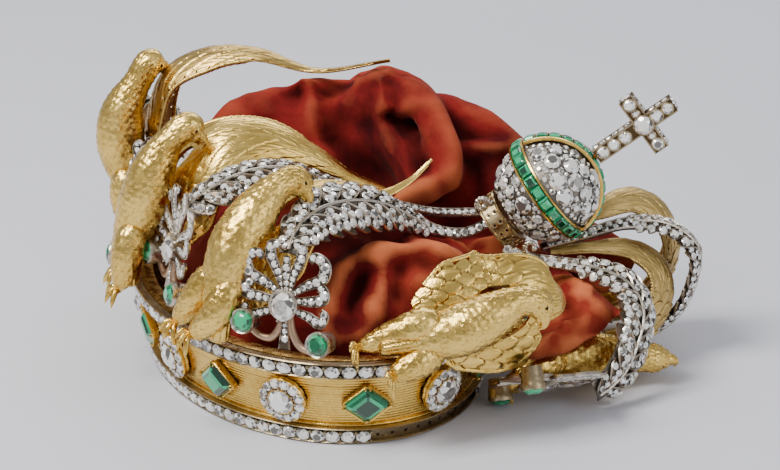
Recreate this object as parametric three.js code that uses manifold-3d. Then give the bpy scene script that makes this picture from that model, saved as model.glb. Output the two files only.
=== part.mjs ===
// A goldsmith's imperial crown that has been crushed: an oval circlet set with stones, eight eagles
// whose raised wings run on as arches, eight leafed palmettes between them, an orb and cross knocked
// over to one side, and a limp velvet cap caught between the arches.
//
// Units are millimetres. +Z is up, -Y is the front and +X the side that the orb leans to. Everything is
// laid out about the circlet's centre on the surface it stands on, and the whole is then moved so that
// the origin is the middle of its own footprint.
import * as THREE from "three";
import { mergeVertices } from "three/addons/utils/BufferGeometryUtils.js";
import Module from "manifold-3d";

const wasm = await Module();
wasm.setup();

// ---------------------------------------------------------------- driving dimensions
const OVAL_ACROSS = 51; // circlet's outer half-width at the foot, across the short way
const OVAL_ALONG = 75; // and the long way
const OVAL_TURN = THREE.MathUtils.degToRad(18.5); // turn of the long way from +Y
const CIRCLET_HEIGHT = 30;
const FLARE = 0.22; // outward lean of the circlet, mm per mm of height
const WALL = 1.6;
const STATIONS = 16; // settings round the circlet: emeralds under eagles, clusters under palmettes
const FIRST_STATION = 7.75; // where station 0 lies, in stations from the oval's +X end
const RING_STEPS = 48; // facets round the circlet
const RAIL_HEIGHT = 5.6;
const RAIL_DEPTH = 1.4;
const STONE_ROW_HEIGHT = 4;
const STONE_ROW_DEPTH = 1.6;
const GAP = 0.35; // clearance cut between neighbouring solids
const LAY = 0.5; // distance between solids that are laid against each other
const SETTING_HEIGHT = 15; // height of the stone settings' centres on the circlet
const CLUSTER_RADIUS = 8.4;
const EMERALD_HALF_WIDTH = 7.6;
const EMERALD_HALF_HEIGHT = 6.4;
const BLADE_THICKNESS = 1.2;

const ORB_CENTRE = new THREE.Vector3(79, -5, 62);
const ORB_AXIS = new THREE.Vector3(0.795, -0.056, 0.604).normalize();
const ORB_SIDE = new THREE.Vector3(-0.57, 0.085, 0.82).projectOnPlane(ORB_AXIS).normalize();
const ORB_RADIUS = 17.3;
const HOOP_DEPTH = 1.5;
const HOOP_HALF_WIDTH = 2.7;
const COLLAR_RADIUS = 9.6;
const COLLAR_LENGTH = 6.5;
const CROSS_LENGTH = 31.5;
const CROSS_SPAN = 21;
const CROSS_CENTRE = 19.5; // from the foot of the shaft to the middle of the arms
const CROSS_BAR = 5.4;
const STUD_RADIUS = 1; // the threaded stud that the cross turns on
const STUD_LENGTH = 11;
const STUD_PLAY = 0.05;

// ---------------------------------------------------------------- materials
const gold = new THREE.MeshStandardMaterial({ color: 0xd2ab4e, roughness: 0.35, metalness: 1 });
const silver = new THREE.MeshStandardMaterial({ color: 0xb9b4ab, roughness: 0.3, metalness: 1 });
const diamond = new THREE.MeshStandardMaterial({ color: 0xe8ecef, roughness: 0.05, metalness: 0 });
const emerald = new THREE.MeshStandardMaterial({ color: 0x1f8f5c, roughness: 0.08, metalness: 0 });
const velvet = new THREE.MeshStandardMaterial({ color: 0xa83a26, roughness: 0.95, metalness: 0 });

// ---------------------------------------------------------------- mesh helpers
const points = (list) => list.map(([x, y, z]) => new THREE.Vector3(x, y, z));

// A closed body through equal rings of points: a loop of them, or a tube with two flat ends.
function skin(rings, closed = false) {
  const n = rings[0].length;
  const position = [];
  const index = [];
  rings.forEach((ring) => ring.forEach((p) => position.push(p.x, p.y, p.z)));
  const last = closed ? rings.length : rings.length - 1;
  for (let i = 0; i < last; i++) {
    const next = (i + 1) % rings.length;
    for (let j = 0; j < n; j++) {
      const k = (j + 1) % n;
      index.push(i * n + j, i * n + k, next * n + k);
      index.push(i * n + j, next * n + k, next * n + j);
    }
  }
  if (!closed) {
    for (let j = 1; j < n - 1; j++) {
      index.push(0, j + 1, j);
      index.push(last * n, last * n + j, last * n + j + 1);
    }
  }
  const geometry = new THREE.BufferGeometry();
  geometry.setAttribute("position", new THREE.Float32BufferAttribute(position, 3));
  geometry.setIndex(index);
  return geometry;
}

function toSolid(geometry, matrix) {
  const bare = geometry.clone();
  bare.deleteAttribute("normal");
  bare.deleteAttribute("uv");
  if (matrix) bare.applyMatrix4(matrix);
  const merged = mergeVertices(bare, 1e-4);
  const solid = new wasm.Manifold(
    new wasm.Mesh({
      numProp: 3,
      vertProperties: merged.attributes.position.array,
      triVerts: new Uint32Array(merged.index.array),
    }),
  );
  if (solid.volume() >= 0) return solid;
  const turned = merged.index.array.slice();
  for (let i = 0; i < turned.length; i += 3) {
    [turned[i + 1], turned[i + 2]] = [turned[i + 2], turned[i + 1]];
  }
  return new wasm.Manifold(
    new wasm.Mesh({
      numProp: 3,
      vertProperties: merged.attributes.position.array,
      triVerts: new Uint32Array(turned),
    }),
  );
}

function toGeometry(solid) {
  const mesh = solid.getMesh();
  const position = new Float32Array(mesh.numVert * 3);
  for (let i = 0; i < mesh.numVert; i++) {
    position.set(mesh.vertProperties.subarray(i * mesh.numProp, i * mesh.numProp + 3), i * 3);
  }
  const geometry = new THREE.BufferGeometry();
  geometry.setAttribute("position", new THREE.BufferAttribute(position, 3));
  geometry.setIndex(new THREE.BufferAttribute(mesh.triVerts, 1));
  return geometry;
}

const union = (solids) => solids.reduce((all, next) => all.add(next));

// The same solid with every face moved out by the clearance: each corner goes where its faces' moved
// planes meet, or as near as a least-squares fit gets it.
function fatter(solid, by) {
  const geometry = toGeometry(solid);
  const { position } = geometry.attributes;
  const { array: corners } = geometry.index;
  const facing = Array.from({ length: position.count }, () => []);
  const face = new THREE.Triangle();
  for (let i = 0; i < corners.length; i += 3) {
    face.setFromAttributeAndIndices(position, corners[i], corners[i + 1], corners[i + 2]);
    const normal = face.getNormal(new THREE.Vector3());
    for (let k = 0; k < 3; k++) facing[corners[i + k]].push(normal);
  }
  facing.forEach((normals, i) => {
    const sum = normals.reduce((total, n) => total.add(n), new THREE.Vector3());
    const product = (a, b) => normals.reduce((total, n) => total + n[a] * n[b], a === b ? 0.02 : 0);
    const fit = new THREE.Matrix3().set(
      product("x", "x"), product("x", "y"), product("x", "z"),
      product("x", "y"), product("y", "y"), product("y", "z"),
      product("x", "z"), product("y", "z"), product("z", "z"),
    );
    const move = sum.applyMatrix3(fit.invert()).clampLength(0, 2.5).multiplyScalar(by);
    position.setXYZ(i, position.getX(i) + move.x, position.getY(i) + move.y, position.getZ(i) + move.z);
  });
  return toSolid(geometry);
}

// Whether, once corners within a micrometre of each other are one, every edge still has one face on
// each side and no face is a mere line.
function isSound(solid) {
  const { index, attributes } = mergeVertices(toGeometry(solid), 0.001);
  const edges = new Set();
  const face = new THREE.Triangle();
  for (let i = 0; i < index.count; i += 3) {
    const corners = [index.getX(i), index.getX(i + 1), index.getX(i + 2)];
    if (new Set(corners).size < 3) continue;
    face.setFromAttributeAndIndices(attributes.position, ...corners);
    const { a, b, c } = face;
    const longest = Math.max(a.distanceTo(b), b.distanceTo(c), c.distanceTo(a));
    if (face.getArea() < 0.0001 * longest) return false;
    for (let k = 0; k < 3; k++) {
      const edge = corners[k] * attributes.position.count + corners[(k + 1) % 3];
      if (edges.has(edge)) return false;
      edges.add(edge);
    }
  }
  return true;
}

// The same solid without the slivers that a cut leaves.
function tidied(solid, coarseness) {
  let size = coarseness;
  while (size < 0.2 && !isSound(solid.simplify(size))) size *= 1.3;
  return solid.simplify(size < 0.2 ? size : coarseness);
}

const crown = new THREE.Group();
const placed = [];

// Adds a piece, cut clear of the pieces that are there already. What a cut severs is dropped.
function place(name, solid, material, { coarseness = 0.06, clearance = GAP } = {}) {
  let own = solid;
  for (const { wide } of placed) {
    if (own.intersect(wide).volume() > 0.001) own = own.subtract(wide);
  }
  own = tidied(own.decompose().sort((a, b) => b.volume() - a.volume())[0], coarseness);
  placed.push({ name, wide: fatter(own, clearance) });
  const mesh = new THREE.Mesh(toGeometry(own), material.clone());
  mesh.name = name;
  crown.add(mesh);
}

// ---------------------------------------------------------------- the oval circlet
function ovalPoint(angle, offset, z) {
  const x = (OVAL_ACROSS + offset) * Math.cos(angle);
  const y = (OVAL_ALONG + offset) * Math.sin(angle);
  return new THREE.Vector3(x, y, z).applyAxisAngle(new THREE.Vector3(0, 0, 1), OVAL_TURN);
}

// A ring whose section is [outward offset from the flared wall, height] corners.
function ovalRing(section) {
  const rings = [];
  for (let i = 0; i < RING_STEPS; i++) {
    const angle = (i / RING_STEPS) * 2 * Math.PI;
    rings.push(section.map(([out, z]) => ovalPoint(angle, out + FLARE * z, z)));
  }
  return toSolid(skin(rings, true));
}

const outline = new THREE.EllipseCurve(0, 0, OVAL_ACROSS, OVAL_ALONG, 0, 2 * Math.PI);

// Where a station stands on the circlet's outer face: a point and the outward and sideways directions.
function station(number, z = CIRCLET_HEIGHT) {
  const share = ((FIRST_STATION + number) / STATIONS) % 1;
  const onOutline = outline.getPointAt(share);
  const angle = Math.atan2(onOutline.y / OVAL_ALONG, onOutline.x / OVAL_ACROSS);
  const out = new THREE.Vector3(OVAL_ALONG * Math.cos(angle), OVAL_ACROSS * Math.sin(angle), 0);
  out.applyAxisAngle(new THREE.Vector3(0, 0, 1), OVAL_TURN).normalize();
  const aside = new THREE.Vector3(0, 0, 1).cross(out);
  return { at: ovalPoint(angle, FLARE * z, z), out, aside };
}

const box = (inner, outer, low, high) => [
  [inner, low],
  [outer, low],
  [outer, high],
  [inner, high],
];

function addCirclet() {
  place("circlet_band", ovalRing(box(-WALL, 0, 0, CIRCLET_HEIGHT)), gold);
  const railMiddles = { lower: RAIL_HEIGHT / 2, upper: CIRCLET_HEIGHT - RAIL_HEIGHT / 2 };
  for (const [which, middle] of Object.entries(railMiddles)) {
    const half = RAIL_HEIGHT / 2;
    place(`${which}_rail`, ovalRing(box(LAY, LAY + RAIL_DEPTH, middle - half, middle + half)), gold);
    const inner = 2 * LAY + RAIL_DEPTH;
    const halfRow = STONE_ROW_HEIGHT / 2;
    const row = box(inner, inner + STONE_ROW_DEPTH, middle - halfRow, middle + halfRow);
    place(`${which}_stone_row`, ovalRing(row), diamond);
  }
}

// A matrix that stands a shape made about +Z on the circlet's face at a station.
function onFace(number, height, lift) {
  const { at, out, aside } = station(number, height);
  const normal = out.clone().addScaledVector(new THREE.Vector3(0, 0, 1), -FLARE).normalize();
  const up = normal.clone().cross(aside);
  return new THREE.Matrix4().makeBasis(aside, up, normal).setPosition(at.addScaledVector(normal, lift));
}

function addSettings() {
  const cluster = new THREE.LatheGeometry(
    [
      [0, 0],
      [CLUSTER_RADIUS - 0.8, 0],
      [CLUSTER_RADIUS, 2.6],
      [CLUSTER_RADIUS * 0.62, 4],
      [0, 4.8],
    ].map(([r, h]) => new THREE.Vector2(r, h)),
    12,
  ).rotateX(Math.PI / 2);
  const stone = new THREE.CylinderGeometry(0.55, 1, 4.2, 4).rotateX(Math.PI / 2).translate(0, 0, 2.1);
  stone.scale(EMERALD_HALF_WIDTH, EMERALD_HALF_HEIGHT, 1);
  for (let k = 0; k < STATIONS; k++) {
    const where = onFace(k, SETTING_HEIGHT, LAY + 0.2);
    const number = Math.floor(k / 2) + 1;
    if (k % 2) place(`diamond_cluster_${number}`, toSolid(cluster, where), diamond);
    else place(`band_emerald_${number}`, toSolid(stone, where), emerald);
  }
}

// ---------------------------------------------------------------- swept shapes
// A round, tapering limb through a list of [x, y, z, radius].
function limb(stops, sides, steps) {
  const curve = new THREE.CatmullRomCurve3(points(stops));
  const frames = curve.computeFrenetFrames(steps, false);
  const rings = [];
  for (let i = 0; i <= steps; i++) {
    const at = curve.getPoint(i / steps);
    const exact = (i / steps) * (stops.length - 1);
    const k = Math.min(Math.floor(exact), stops.length - 2);
    const radius = THREE.MathUtils.lerp(stops[k][3], stops[k + 1][3], exact - k);
    const ring = [];
    for (let j = 0; j < sides; j++) {
      const angle = (j / sides) * 2 * Math.PI;
      const spoke = frames.normals[Math.min(i, steps)].clone().multiplyScalar(radius * Math.cos(angle));
      spoke.addScaledVector(frames.binormals[Math.min(i, steps)], radius * Math.sin(angle));
      ring.push(spoke.add(at));
    }
    rings.push(ring);
  }
  return toSolid(skin(rings));
}

// A gutter-shaped blade through [x, y, z, half-width] stops. Its hollow side faces the point inside.
function blade(stops, inside, cup, steps) {
  const curve = new THREE.CatmullRomCurve3(points(stops));
  const heart = new THREE.Vector3(...inside);
  const rings = [];
  for (let i = 0; i <= steps; i++) {
    const at = curve.getPoint(i / steps);
    const along = curve.getTangent(i / steps);
    const out = at.clone().sub(heart).projectOnPlane(along).normalize();
    const aside = along.clone().cross(out);
    const exact = (i / steps) * (stops.length - 1);
    const k = Math.min(Math.floor(exact), stops.length - 2);
    const half = THREE.MathUtils.lerp(stops[k][3], stops[k + 1][3], exact - k);
    const corner = (side, depth) =>
      at
        .clone()
        .addScaledVector(aside, side * half)
        .addScaledVector(out, depth - cup * half * side * side);
    const top = [-1, -0.5, 0, 0.5, 1].map((side) => corner(side, BLADE_THICKNESS / 2));
    const under = [1, 0, -1].map((side) => corner(side, -BLADE_THICKNESS / 2));
    rings.push([...top, ...under]);
  }
  return toSolid(skin(rings));
}

// ---------------------------------------------------------------- eagles
// Each spine runs tail, belly, breast, shoulders, neck, head, beak, tip. The wings' blade runs from the
// tail end up behind the body and on as the arch, and inside is a point that its hollow side faces.
const SPINE_RADII = [2.5, 6.6, 8.4, 7.6, 4.8, 4.8, 2.6, 0.7];
const EAGLES = [
  {
    number: 1, // left
    spine: [
      [-61, -16, 34], [-60, -17, 48], [-55, -18, 63], [-52, -18, 73],
      [-47, -17, 82], [-40, -15, 87], [-37, -15, 84], [-35, -15, 80],
    ],
    legs: [
      [[-60, -24, 50], [-62, -26, 40], [-64, -24, 33]],
      [[-60, -10, 50], [-64, -8, 40], [-66, -7, 33]],
    ],
    wings: [
      [-52, -13, 42, 6], [-47, -13, 58, 15], [-41, -13, 72, 15], [-31, -11, 80, 12],
      [-16, -8, 81, 9], [-1, -4, 74, 5], [13, 1, 64, 2.2], [24, 6, 58, 1],
    ],
    inside: [0, 45, 20],
    cup: 0.35,
  },
  {
    number: 2, // front left
    spine: [
      [-29, -67, 34], [-28, -65, 47], [-23, -60, 62], [-17, -55, 71],
      [-10, -50, 78], [-4, -47, 79], [0, -47, 76], [1, -48, 71],
    ],
    legs: [
      [[-32, -62, 50], [-38, -61, 42], [-43, -60, 35]],
      [[-26, -69, 47], [-32, -70, 38], [-38, -67, 34]],
    ],
    wings: [
      [-20, -57, 40, 6], [-15, -52, 54, 13], [-8, -45, 66, 12], [1, -37, 71, 8],
      [12, -28, 70, 4.5], [23, -19, 65, 2], [32, -13, 67, 1.3], [40, -8, 73, 0.9],
    ],
    inside: [10, 0, 20],
    cup: 0.35,
  },
  {
    number: 3, // front, thrown down on its side
    spine: [
      [24, -79, 35], [37, -77, 36], [50, -74, 39], [59, -72, 43],
      [67, -69, 46], [73, -67, 45], [75, -68, 41], [75, -69, 36],
    ],
    legs: [
      [[36, -77, 42], [27, -78, 38], [15, -78, 34]], [[37, -79, 31], [31, -83, 29], [26, -85, 27]],
    ],
    wings: [
      [34, -69, 39, 7], [46, -66, 40, 17], [60, -61, 40, 20], [72, -56, 44, 13],
      [80, -50, 42, 7], [79, -38, 41, 3], [70, -26, 41, 1.6], [58, -16, 42, 1.2],
    ],
    inside: [50, 0, 18],
    cup: 0.3,
  },
  {
    number: 4, // right, stretched out on the surface
    spine: [
      [66, -35, 13], [80, -31, 11], [92, -28, 10.2], [100, -26, 9.6],
      [108, -25, 9], [115, -24, 8.4], [119, -23, 7.6], [122, -22, 6],
    ],
    legs: [
      [[78, -37, 12], [70, -41, 8], [63, -43, 5]], [[76, -26, 16], [68, -27, 19], [63, -28, 22]],
    ],
    wings: [
      [92, -19, 9, 6], [105, -15, 9, 7], [115, -12, 15, 8], [120, -9, 25, 8],
      [118, -7, 35, 6.5], [108, -5, 41, 4], [95, -7, 42, 2], [80, -9, 41, 1.2],
    ],
    inside: [90, 8, 22],
    cup: 0.35,
  },
  {
    number: 5, // back right, stretched out behind
    spine: [
      [66, 20, 22], [77, 23, 18], [88, 26, 14], [97, 28, 11],
      [105, 30, 9], [112, 32, 8.4], [116, 33, 7.4], [119, 34, 6],
    ],
    legs: [[[77, 18, 16], [71, 15, 14], [66, 14, 12]], [[77, 31, 18], [72, 33, 15], [67, 34, 12]]],
    wings: [
      [98, 16, 6, 6], [112, 16, 10, 9], [122, 16, 22, 10], [125, 15, 36, 9],
      [119, 12, 50, 7.5], [108, 8, 55, 5.5], [95, 4, 51, 3], [82, 12, 45, 1.4],
    ],
    inside: [92, 20, 24],
    cup: 0.45,
  },
  {
    number: 6, // back, leaning out
    spine: [
      [33, 68, 33], [37, 74, 42], [40, 78, 50], [40, 78, 57],
      [39, 76, 63], [38, 73, 66.5], [40, 70, 66], [43, 67, 63],
    ],
    legs: [[[42, 70, 44], [42, 66, 38], [40, 63, 34]], [[31, 75, 44], [27, 74, 38], [25, 72, 34]]],
    wings: [
      [28, 58, 38, 6], [29, 62, 49, 13], [31, 64, 59, 14], [36, 63, 66, 11],
      [45, 59, 67, 6], [56, 54, 62, 3], [66, 47, 55, 1.6], [74, 38, 49, 1],
    ],
    inside: [20, 10, 30],
    cup: 0.35,
  },
  {
    number: 7, // back left of centre
    spine: [
      [-20, 82, 33], [-21, 86, 41], [-22, 89, 48], [-21, 90, 54],
      [-18, 89, 58.5], [-13, 86, 60], [-10, 84, 59], [-8, 83, 56.5],
    ],
    legs: [
      [[-13, 84, 44], [-10, 81, 38], [-9, 79, 34]], [[-28, 83, 44], [-30, 79, 38], [-31, 77, 34]],
    ],
    wings: [
      [-18, 74, 37, 6], [-17, 76, 46, 13], [-14, 75, 53, 12], [-8, 73, 58, 9],
      [0, 70, 60, 5], [8, 68, 59, 2.6], [14, 66, 56, 1.6], [19, 65, 52, 1],
    ],
    inside: [0, 0, 20],
    cup: 0.35,
  },
  {
    number: 8, // back left, its arch sprung upright
    spine: [
      [-61, 43, 34], [-65, 41, 49], [-68, 39, 64], [-67, 39, 75],
      [-62, 40, 85], [-57, 42, 92], [-54, 44, 91], [-52, 46, 88],
    ],
    legs: [
      [[-66, 34, 50], [-67, 33, 40], [-65, 32, 34]], [[-62, 48, 50], [-60, 50, 40], [-58, 50, 34]],
    ],
    wings: [
      [-56, 42, 42, 6], [-58, 45, 57, 13], [-58, 46, 73, 13], [-52, 46, 88, 12],
      [-38, 43, 96, 10], [-20, 39, 97, 6], [0, 33, 92, 2.4], [26, 24, 98, 0.9],
    ],
    inside: [-10, 40, 50],
    cup: 0.5,
  },
];

function addEagles() {
  for (const { number, spine, legs } of EAGLES) {
    const body = limb(spine.map((p, i) => [...p, SPINE_RADII[i]]), 8, 10);
    const shanks = legs.map((leg) => limb(leg.map((p, i) => [...p, [4.4, 2.6, 1.3][i]]), 6, 3));
    place(`eagle_${number}`, union([body, ...shanks]), gold);
  }
}

function addEagleArches() {
  for (const { number, wings, inside, cup } of EAGLES) {
    place(`eagle_arch_${number}`, blade(wings, inside, cup, 12), gold);
  }
}

// ---------------------------------------------------------------- palmettes
// Each stands at foot, with up along its stem and out square to its face. The leaf runs on from it as
// [x, y, z, half-width] stops, and inside is a point that the leaf's hollow side faces.
const PALMETTES = [
  {
    number: 1, // left
    foot: [-46.5, -33.5, 35.5],
    up: [0.18, 0.05, 1],
    out: [-0.92, -0.37, 0.12],
    leaf: [
      [-41, -37, 65, 4], [-36, -36, 69, 6], [-28, -32, 73, 7],
      [-18, -26, 75, 7], [-7, -20, 73.5, 5.5], [5, -15, 67.5, 3],
      [22, -11, 60, 1.6], [40, -9, 55, 1.4], [56, -7, 54, 1.4],
    ],
    inside: [0, 0, 30],
  },
  {
    number: 2, // front
    foot: [-7, -77, 32],
    up: [0.04, 0.22, 1],
    out: [-0.42, -0.9, 0.2],
    leaf: [
      [-6, -66, 62, 4], [-3, -58, 67, 7.5], [4, -49, 70, 9], [14, -39, 69, 8.5], [24, -31, 65, 6.5],
      [33, -24, 58, 3.2], [41, -19, 52, 2], [51, -13, 49, 1.6], [60, -9, 52, 1.5],
    ],
    inside: [10, 0, 20],
  },
  {
    number: 3, // front right, torn off and lying on its back edge
    foot: [60, -56, 13.4],
    up: [0.97, 0.2, 0],
    out: [0, -0.5, -0.86],
    leaf: [
      [94, -52, 7, 5], [102, -46, 12, 7], [107, -39, 20, 7], [109, -33, 29, 6], [105, -28, 36, 4.5],
      [96, -25, 40, 3], [85, -22, 41, 2.2], [73, -19, 42, 1.8], [64, -15, 44, 1.5],
    ],
    inside: [85, -5, 22],
  },
  {
    number: 4, // right, behind the stretched-out eagle
    foot: [68, -6, 20],
    up: [1, 0.1, -0.3],
    out: [0.3, -0.35, 0.9],
    leaf: [
      [104, -3, 8, 4], [115, 1, 7.5, 5.5], [125, 2, 15, 6], [130, 2, 27, 6], [130, 1, 38, 5],
      [121, 1, 46, 3.4], [106, -1, 48, 2.4], [90, -3, 44, 1.8], [77, -8, 42, 1.5],
    ],
    inside: [95, 10, 22],
  },
  {
    number: 5, // back right
    foot: [51, 45, 32],
    up: [0.85, 0.5, 0.25],
    out: [-0.2, -0.15, 1],
    leaf: [
      [79, 61, 43, 4], [85, 62, 48, 5.5], [90, 59, 54, 6], [94, 53, 57, 5.5], [95, 45, 57, 4.5],
      [93, 38, 53, 3], [88, 32, 48, 2], [83, 28, 44, 1.6], [78, 26, 41, 1.4],
    ],
    inside: [80, 40, 35],
  },
  {
    number: 6, // back
    foot: [9, 80, 31],
    up: [0, 0.04, 1],
    out: [0.15, 0.98, 0],
    leaf: [
      [9, 84, 65, 4], [9, 86, 67.2, 6], [8, 90, 68, 6.5], [7, 95, 66.5, 6], [6, 99, 63, 5],
      [5, 101, 58, 3.4], [4, 101, 53, 2.2], [3, 99, 48, 1.6], [2, 96, 43, 1.2],
    ],
    inside: [5, 85, 55],
  },
  {
    number: 7, // back left
    foot: [-47, 70, 31],
    up: [-0.6, 0.65, 0.6],
    out: [-0.5, 0.5, -1],
    leaf: [
      [-67, 91, 52, 3], [-66, 94, 55, 5], [-63, 97, 58, 6], [-58, 97, 59, 5.5], [-52, 92, 58, 4.4],
      [-47, 85, 55, 3], [-43, 77, 51, 2], [-40, 70, 47, 1.6], [-37, 64, 43, 1.2],
    ],
    inside: [-50, 80, 50],
  },
  {
    number: 8, // left, between the two left eagles
    foot: [-64, 16, 31],
    up: [0.12, 0, 1],
    out: [-0.99, 0.05, 0.1],
    leaf: [
      [-60, 17, 66, 3], [-58, 18, 68.5, 4.5], [-55, 20, 68.5, 5], [-52, 23, 66, 4.6],
      [-51, 26, 62, 3.8], [-50, 28, 57, 3], [-50, 30, 52, 2], [-50, 32, 47, 1.5],
    ],
    inside: [-58, 26, 54],
  },
];

// The palmette's own outline, x across and y up from its foot: the lyre-shaped foot, the emeralds'
// tall collets, the pear stone and three pairs of scrolled petals.
const PETAL_SPINES = [
  [[1.5, 19, 1.2], [7, 24.5, 1.8], [12.5, 27.5, 2.3], [12.5, 31.5, 2], [8.5, 32, 1.4]],
  [[1.5, 17, 1.2], [8, 17.5, 1.9], [14, 19.5, 2.2], [12, 22.5, 1.4]],
  [[1.5, 14, 1.2], [8, 13, 1.7], [12.5, 10.5, 2.2]],
];
const FOOT_SPINE = [[1.7, 11, 1.4], [2.6, 5, 1.4], [6, 1.6, 1.4], [12, 1.6, 1.4]];
const COLLET_X = 13.3;
const COLLET_HEIGHTS = { left: 9.4, right: 4.4 }; // crushed, each palmette carries one higher
const COLLET_RADIUS = 4.3;
const PEAR_Y = 15;

function palmetteSolid() {
  const parts = [];
  for (const side of [-1, 1]) {
    for (const spine of PETAL_SPINES) {
      parts.push(limb(spine.map(([x, y, r]) => [side * x, y, 0, r]), 4, 3));
    }
    const height = side < 0 ? COLLET_HEIGHTS.left : COLLET_HEIGHTS.right;
    const raise = (height - COLLET_HEIGHTS.right) / COLLET_X;
    parts.push(limb(FOOT_SPINE.map(([x, y, r]) => [side * x, y + raise * x, 0, r]), 4, 3));
    const collet = new THREE.CylinderGeometry(COLLET_RADIUS, COLLET_RADIUS - 0.6, 7, 8);
    parts.push(toSolid(collet.rotateX(Math.PI / 2).translate(side * COLLET_X, height, 1.5)));
  }
  const pear = new THREE.CylinderGeometry(3.2, 4.8, 5.4, 8).rotateX(Math.PI / 2).scale(1, 1.2, 1);
  parts.push(toSolid(pear.translate(0, PEAR_Y, 1)));
  parts.push(limb([[0, 18, 0, 1.6], [0, 26, 0, 3.2], [0, 33, 0, 2.4]], 4, 2));
  return union(parts);
}

function addPalmettes() {
  const pattern = palmetteSolid();
  for (const { number, foot, up, out } of PALMETTES) {
    const stem = new THREE.Vector3(...up).normalize();
    const face = new THREE.Vector3(...out).projectOnPlane(stem).normalize();
    const frame = new THREE.Matrix4().makeBasis(stem.clone().cross(face), stem, face);
    const own = pattern.transform(frame.setPosition(...foot).elements);
    place(`palmette_${number}`, own, silver, { coarseness: 0.12 });
  }
}

function addLeaves() {
  for (const { number, leaf, inside } of PALMETTES) {
    place(`palmette_leaf_${number}`, blade(leaf, inside, 0.3, 12), silver);
  }
}

// ---------------------------------------------------------------- orb and cross
// The orb's frame has its axis along +Z and its hoop in the XZ plane, with the orb's centre at 0.
function orbFrame() {
  const across = ORB_AXIS.clone().cross(ORB_SIDE);
  return new THREE.Matrix4().makeBasis(ORB_SIDE, across, ORB_AXIS).setPosition(ORB_CENTRE);
}

// A flat hoop about +Z, or half of one, from its inner to its outer radius.
function hoop(inner, outer, halfWidth, from, sweep, steps) {
  const rings = [];
  const closed = sweep === 2 * Math.PI;
  for (let i = 0; i < (closed ? steps : steps + 1); i++) {
    const angle = from + (i / steps) * sweep;
    const ring = box(inner, outer, -halfWidth, halfWidth).map(
      ([r, z]) => new THREE.Vector3(r * Math.cos(angle), r * Math.sin(angle), z),
    );
    rings.push(ring);
  }
  return skin(rings, closed);
}

function addOrb() {
  const frame = orbFrame();
  const inner = ORB_RADIUS + LAY;
  const outer = inner + HOOP_DEPTH;
  const top = outer + LAY;
  const pin = (radius, length) => {
    const cylinder = new THREE.CylinderGeometry(radius, radius, length, 16).rotateX(Math.PI / 2);
    return toSolid(cylinder.translate(0, 0, top), frame);
  };
  const studHole = pin(STUD_RADIUS + STUD_PLAY, STUD_LENGTH + 1);
  place("cross_stud", pin(STUD_RADIUS, STUD_LENGTH), gold, { clearance: STUD_PLAY * 0.8 });
  const ball = toSolid(new THREE.SphereGeometry(ORB_RADIUS, 24, 10).rotateX(Math.PI / 2), frame);
  place("orb", ball.subtract(studHole), diamond);
  const equator = hoop(inner, outer, HOOP_HALF_WIDTH, 0, 2 * Math.PI, 24);
  place("orb_equator", toSolid(equator, frame), emerald);
  const halfHoop = hoop(inner, outer, HOOP_HALF_WIDTH, 0, Math.PI, 12).rotateX(Math.PI / 2);
  place("orb_half_hoop", toSolid(halfHoop, frame).subtract(studHole), emerald);
  const seat = Math.sqrt(ORB_RADIUS ** 2 - (COLLAR_RADIUS - 1.6) ** 2) + LAY;
  const collar = new THREE.LatheGeometry(
    [
      [COLLAR_RADIUS - 1.6, 0],
      [COLLAR_RADIUS, 0],
      [COLLAR_RADIUS + 0.5, COLLAR_LENGTH],
      [COLLAR_RADIUS - 1.1, COLLAR_LENGTH],
    ].map(([r, h]) => new THREE.Vector2(r, -seat - h)),
    20,
  );
  place("orb_collar", toSolid(closeLathe(collar), frame), gold);
  const shaft = new THREE.BoxGeometry(CROSS_BAR, CROSS_BAR, CROSS_LENGTH);
  const arms = new THREE.BoxGeometry(CROSS_SPAN, CROSS_BAR, CROSS_BAR);
  const upright = toSolid(shaft.translate(0, 0, top + CROSS_LENGTH / 2), frame);
  const crossbar = toSolid(arms.translate(0, 0, top + CROSS_CENTRE), frame);
  place("cross", upright.add(crossbar).subtract(studHole), silver);
}

// A lathe whose profile is a loop off the axis: its last row joins back to its first.
function closeLathe(lathe) {
  const { points: profile, segments } = lathe.parameters;
  const rings = [];
  for (let i = 0; i < segments; i++) {
    const turn = (i / segments) * 2 * Math.PI;
    const spoke = new THREE.Vector2(Math.cos(turn), Math.sin(turn));
    rings.push(profile.map((p) => new THREE.Vector3(p.x * spoke.x, p.x * spoke.y, p.y)));
  }
  return skin(rings, true);
}

// ---------------------------------------------------------------- velvet cap
const CAP_RIM_HEIGHT = 19;
const CAP_RIM_INSET = 5;
const CAP_THICKNESS = 3;
const CAP_TOP = new THREE.Vector3(-6, -10, 61);
const CAP_STEPS_ROUND = 22;
const CAP_STEPS_UP = 6;
// The slumped velvet stands up in these lobes: centre, half-lengths and turn about the upright.
const CAP_LOBES = [
  [[-2, 33, 50], [46, 22, 37], 0.1],
  [[27, 40, 60], [27, 15, 31], 0],
  [[44, 19, 44], [32, 15, 38], -0.15],
];
// And in these rolls, as [x, y, z, radius] stops, it spills out over the circlet's right side.
const CAP_SPILLS = [
  [
    [48, 2, 38, 6], [60, 1, 38, 6.5], [76, 1, 32, 8],
    [92, 0, 31, 7.5], [104, -1, 30, 6], [111, -1, 27, 3],
  ],
  [
    [78, 0, 32, 6], [84, -10, 31, 7], [87, -20, 30, 7.5],
    [91, -27, 28, 8], [97, -29, 27, 6.5], [104, -29, 25, 3],
  ],
  [[63, -49, 23, 3], [72, -45, 22, 6], [81, -38, 24, 8], [90, -31, 26, 8], [96, -27, 27, 6]],
];

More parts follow.
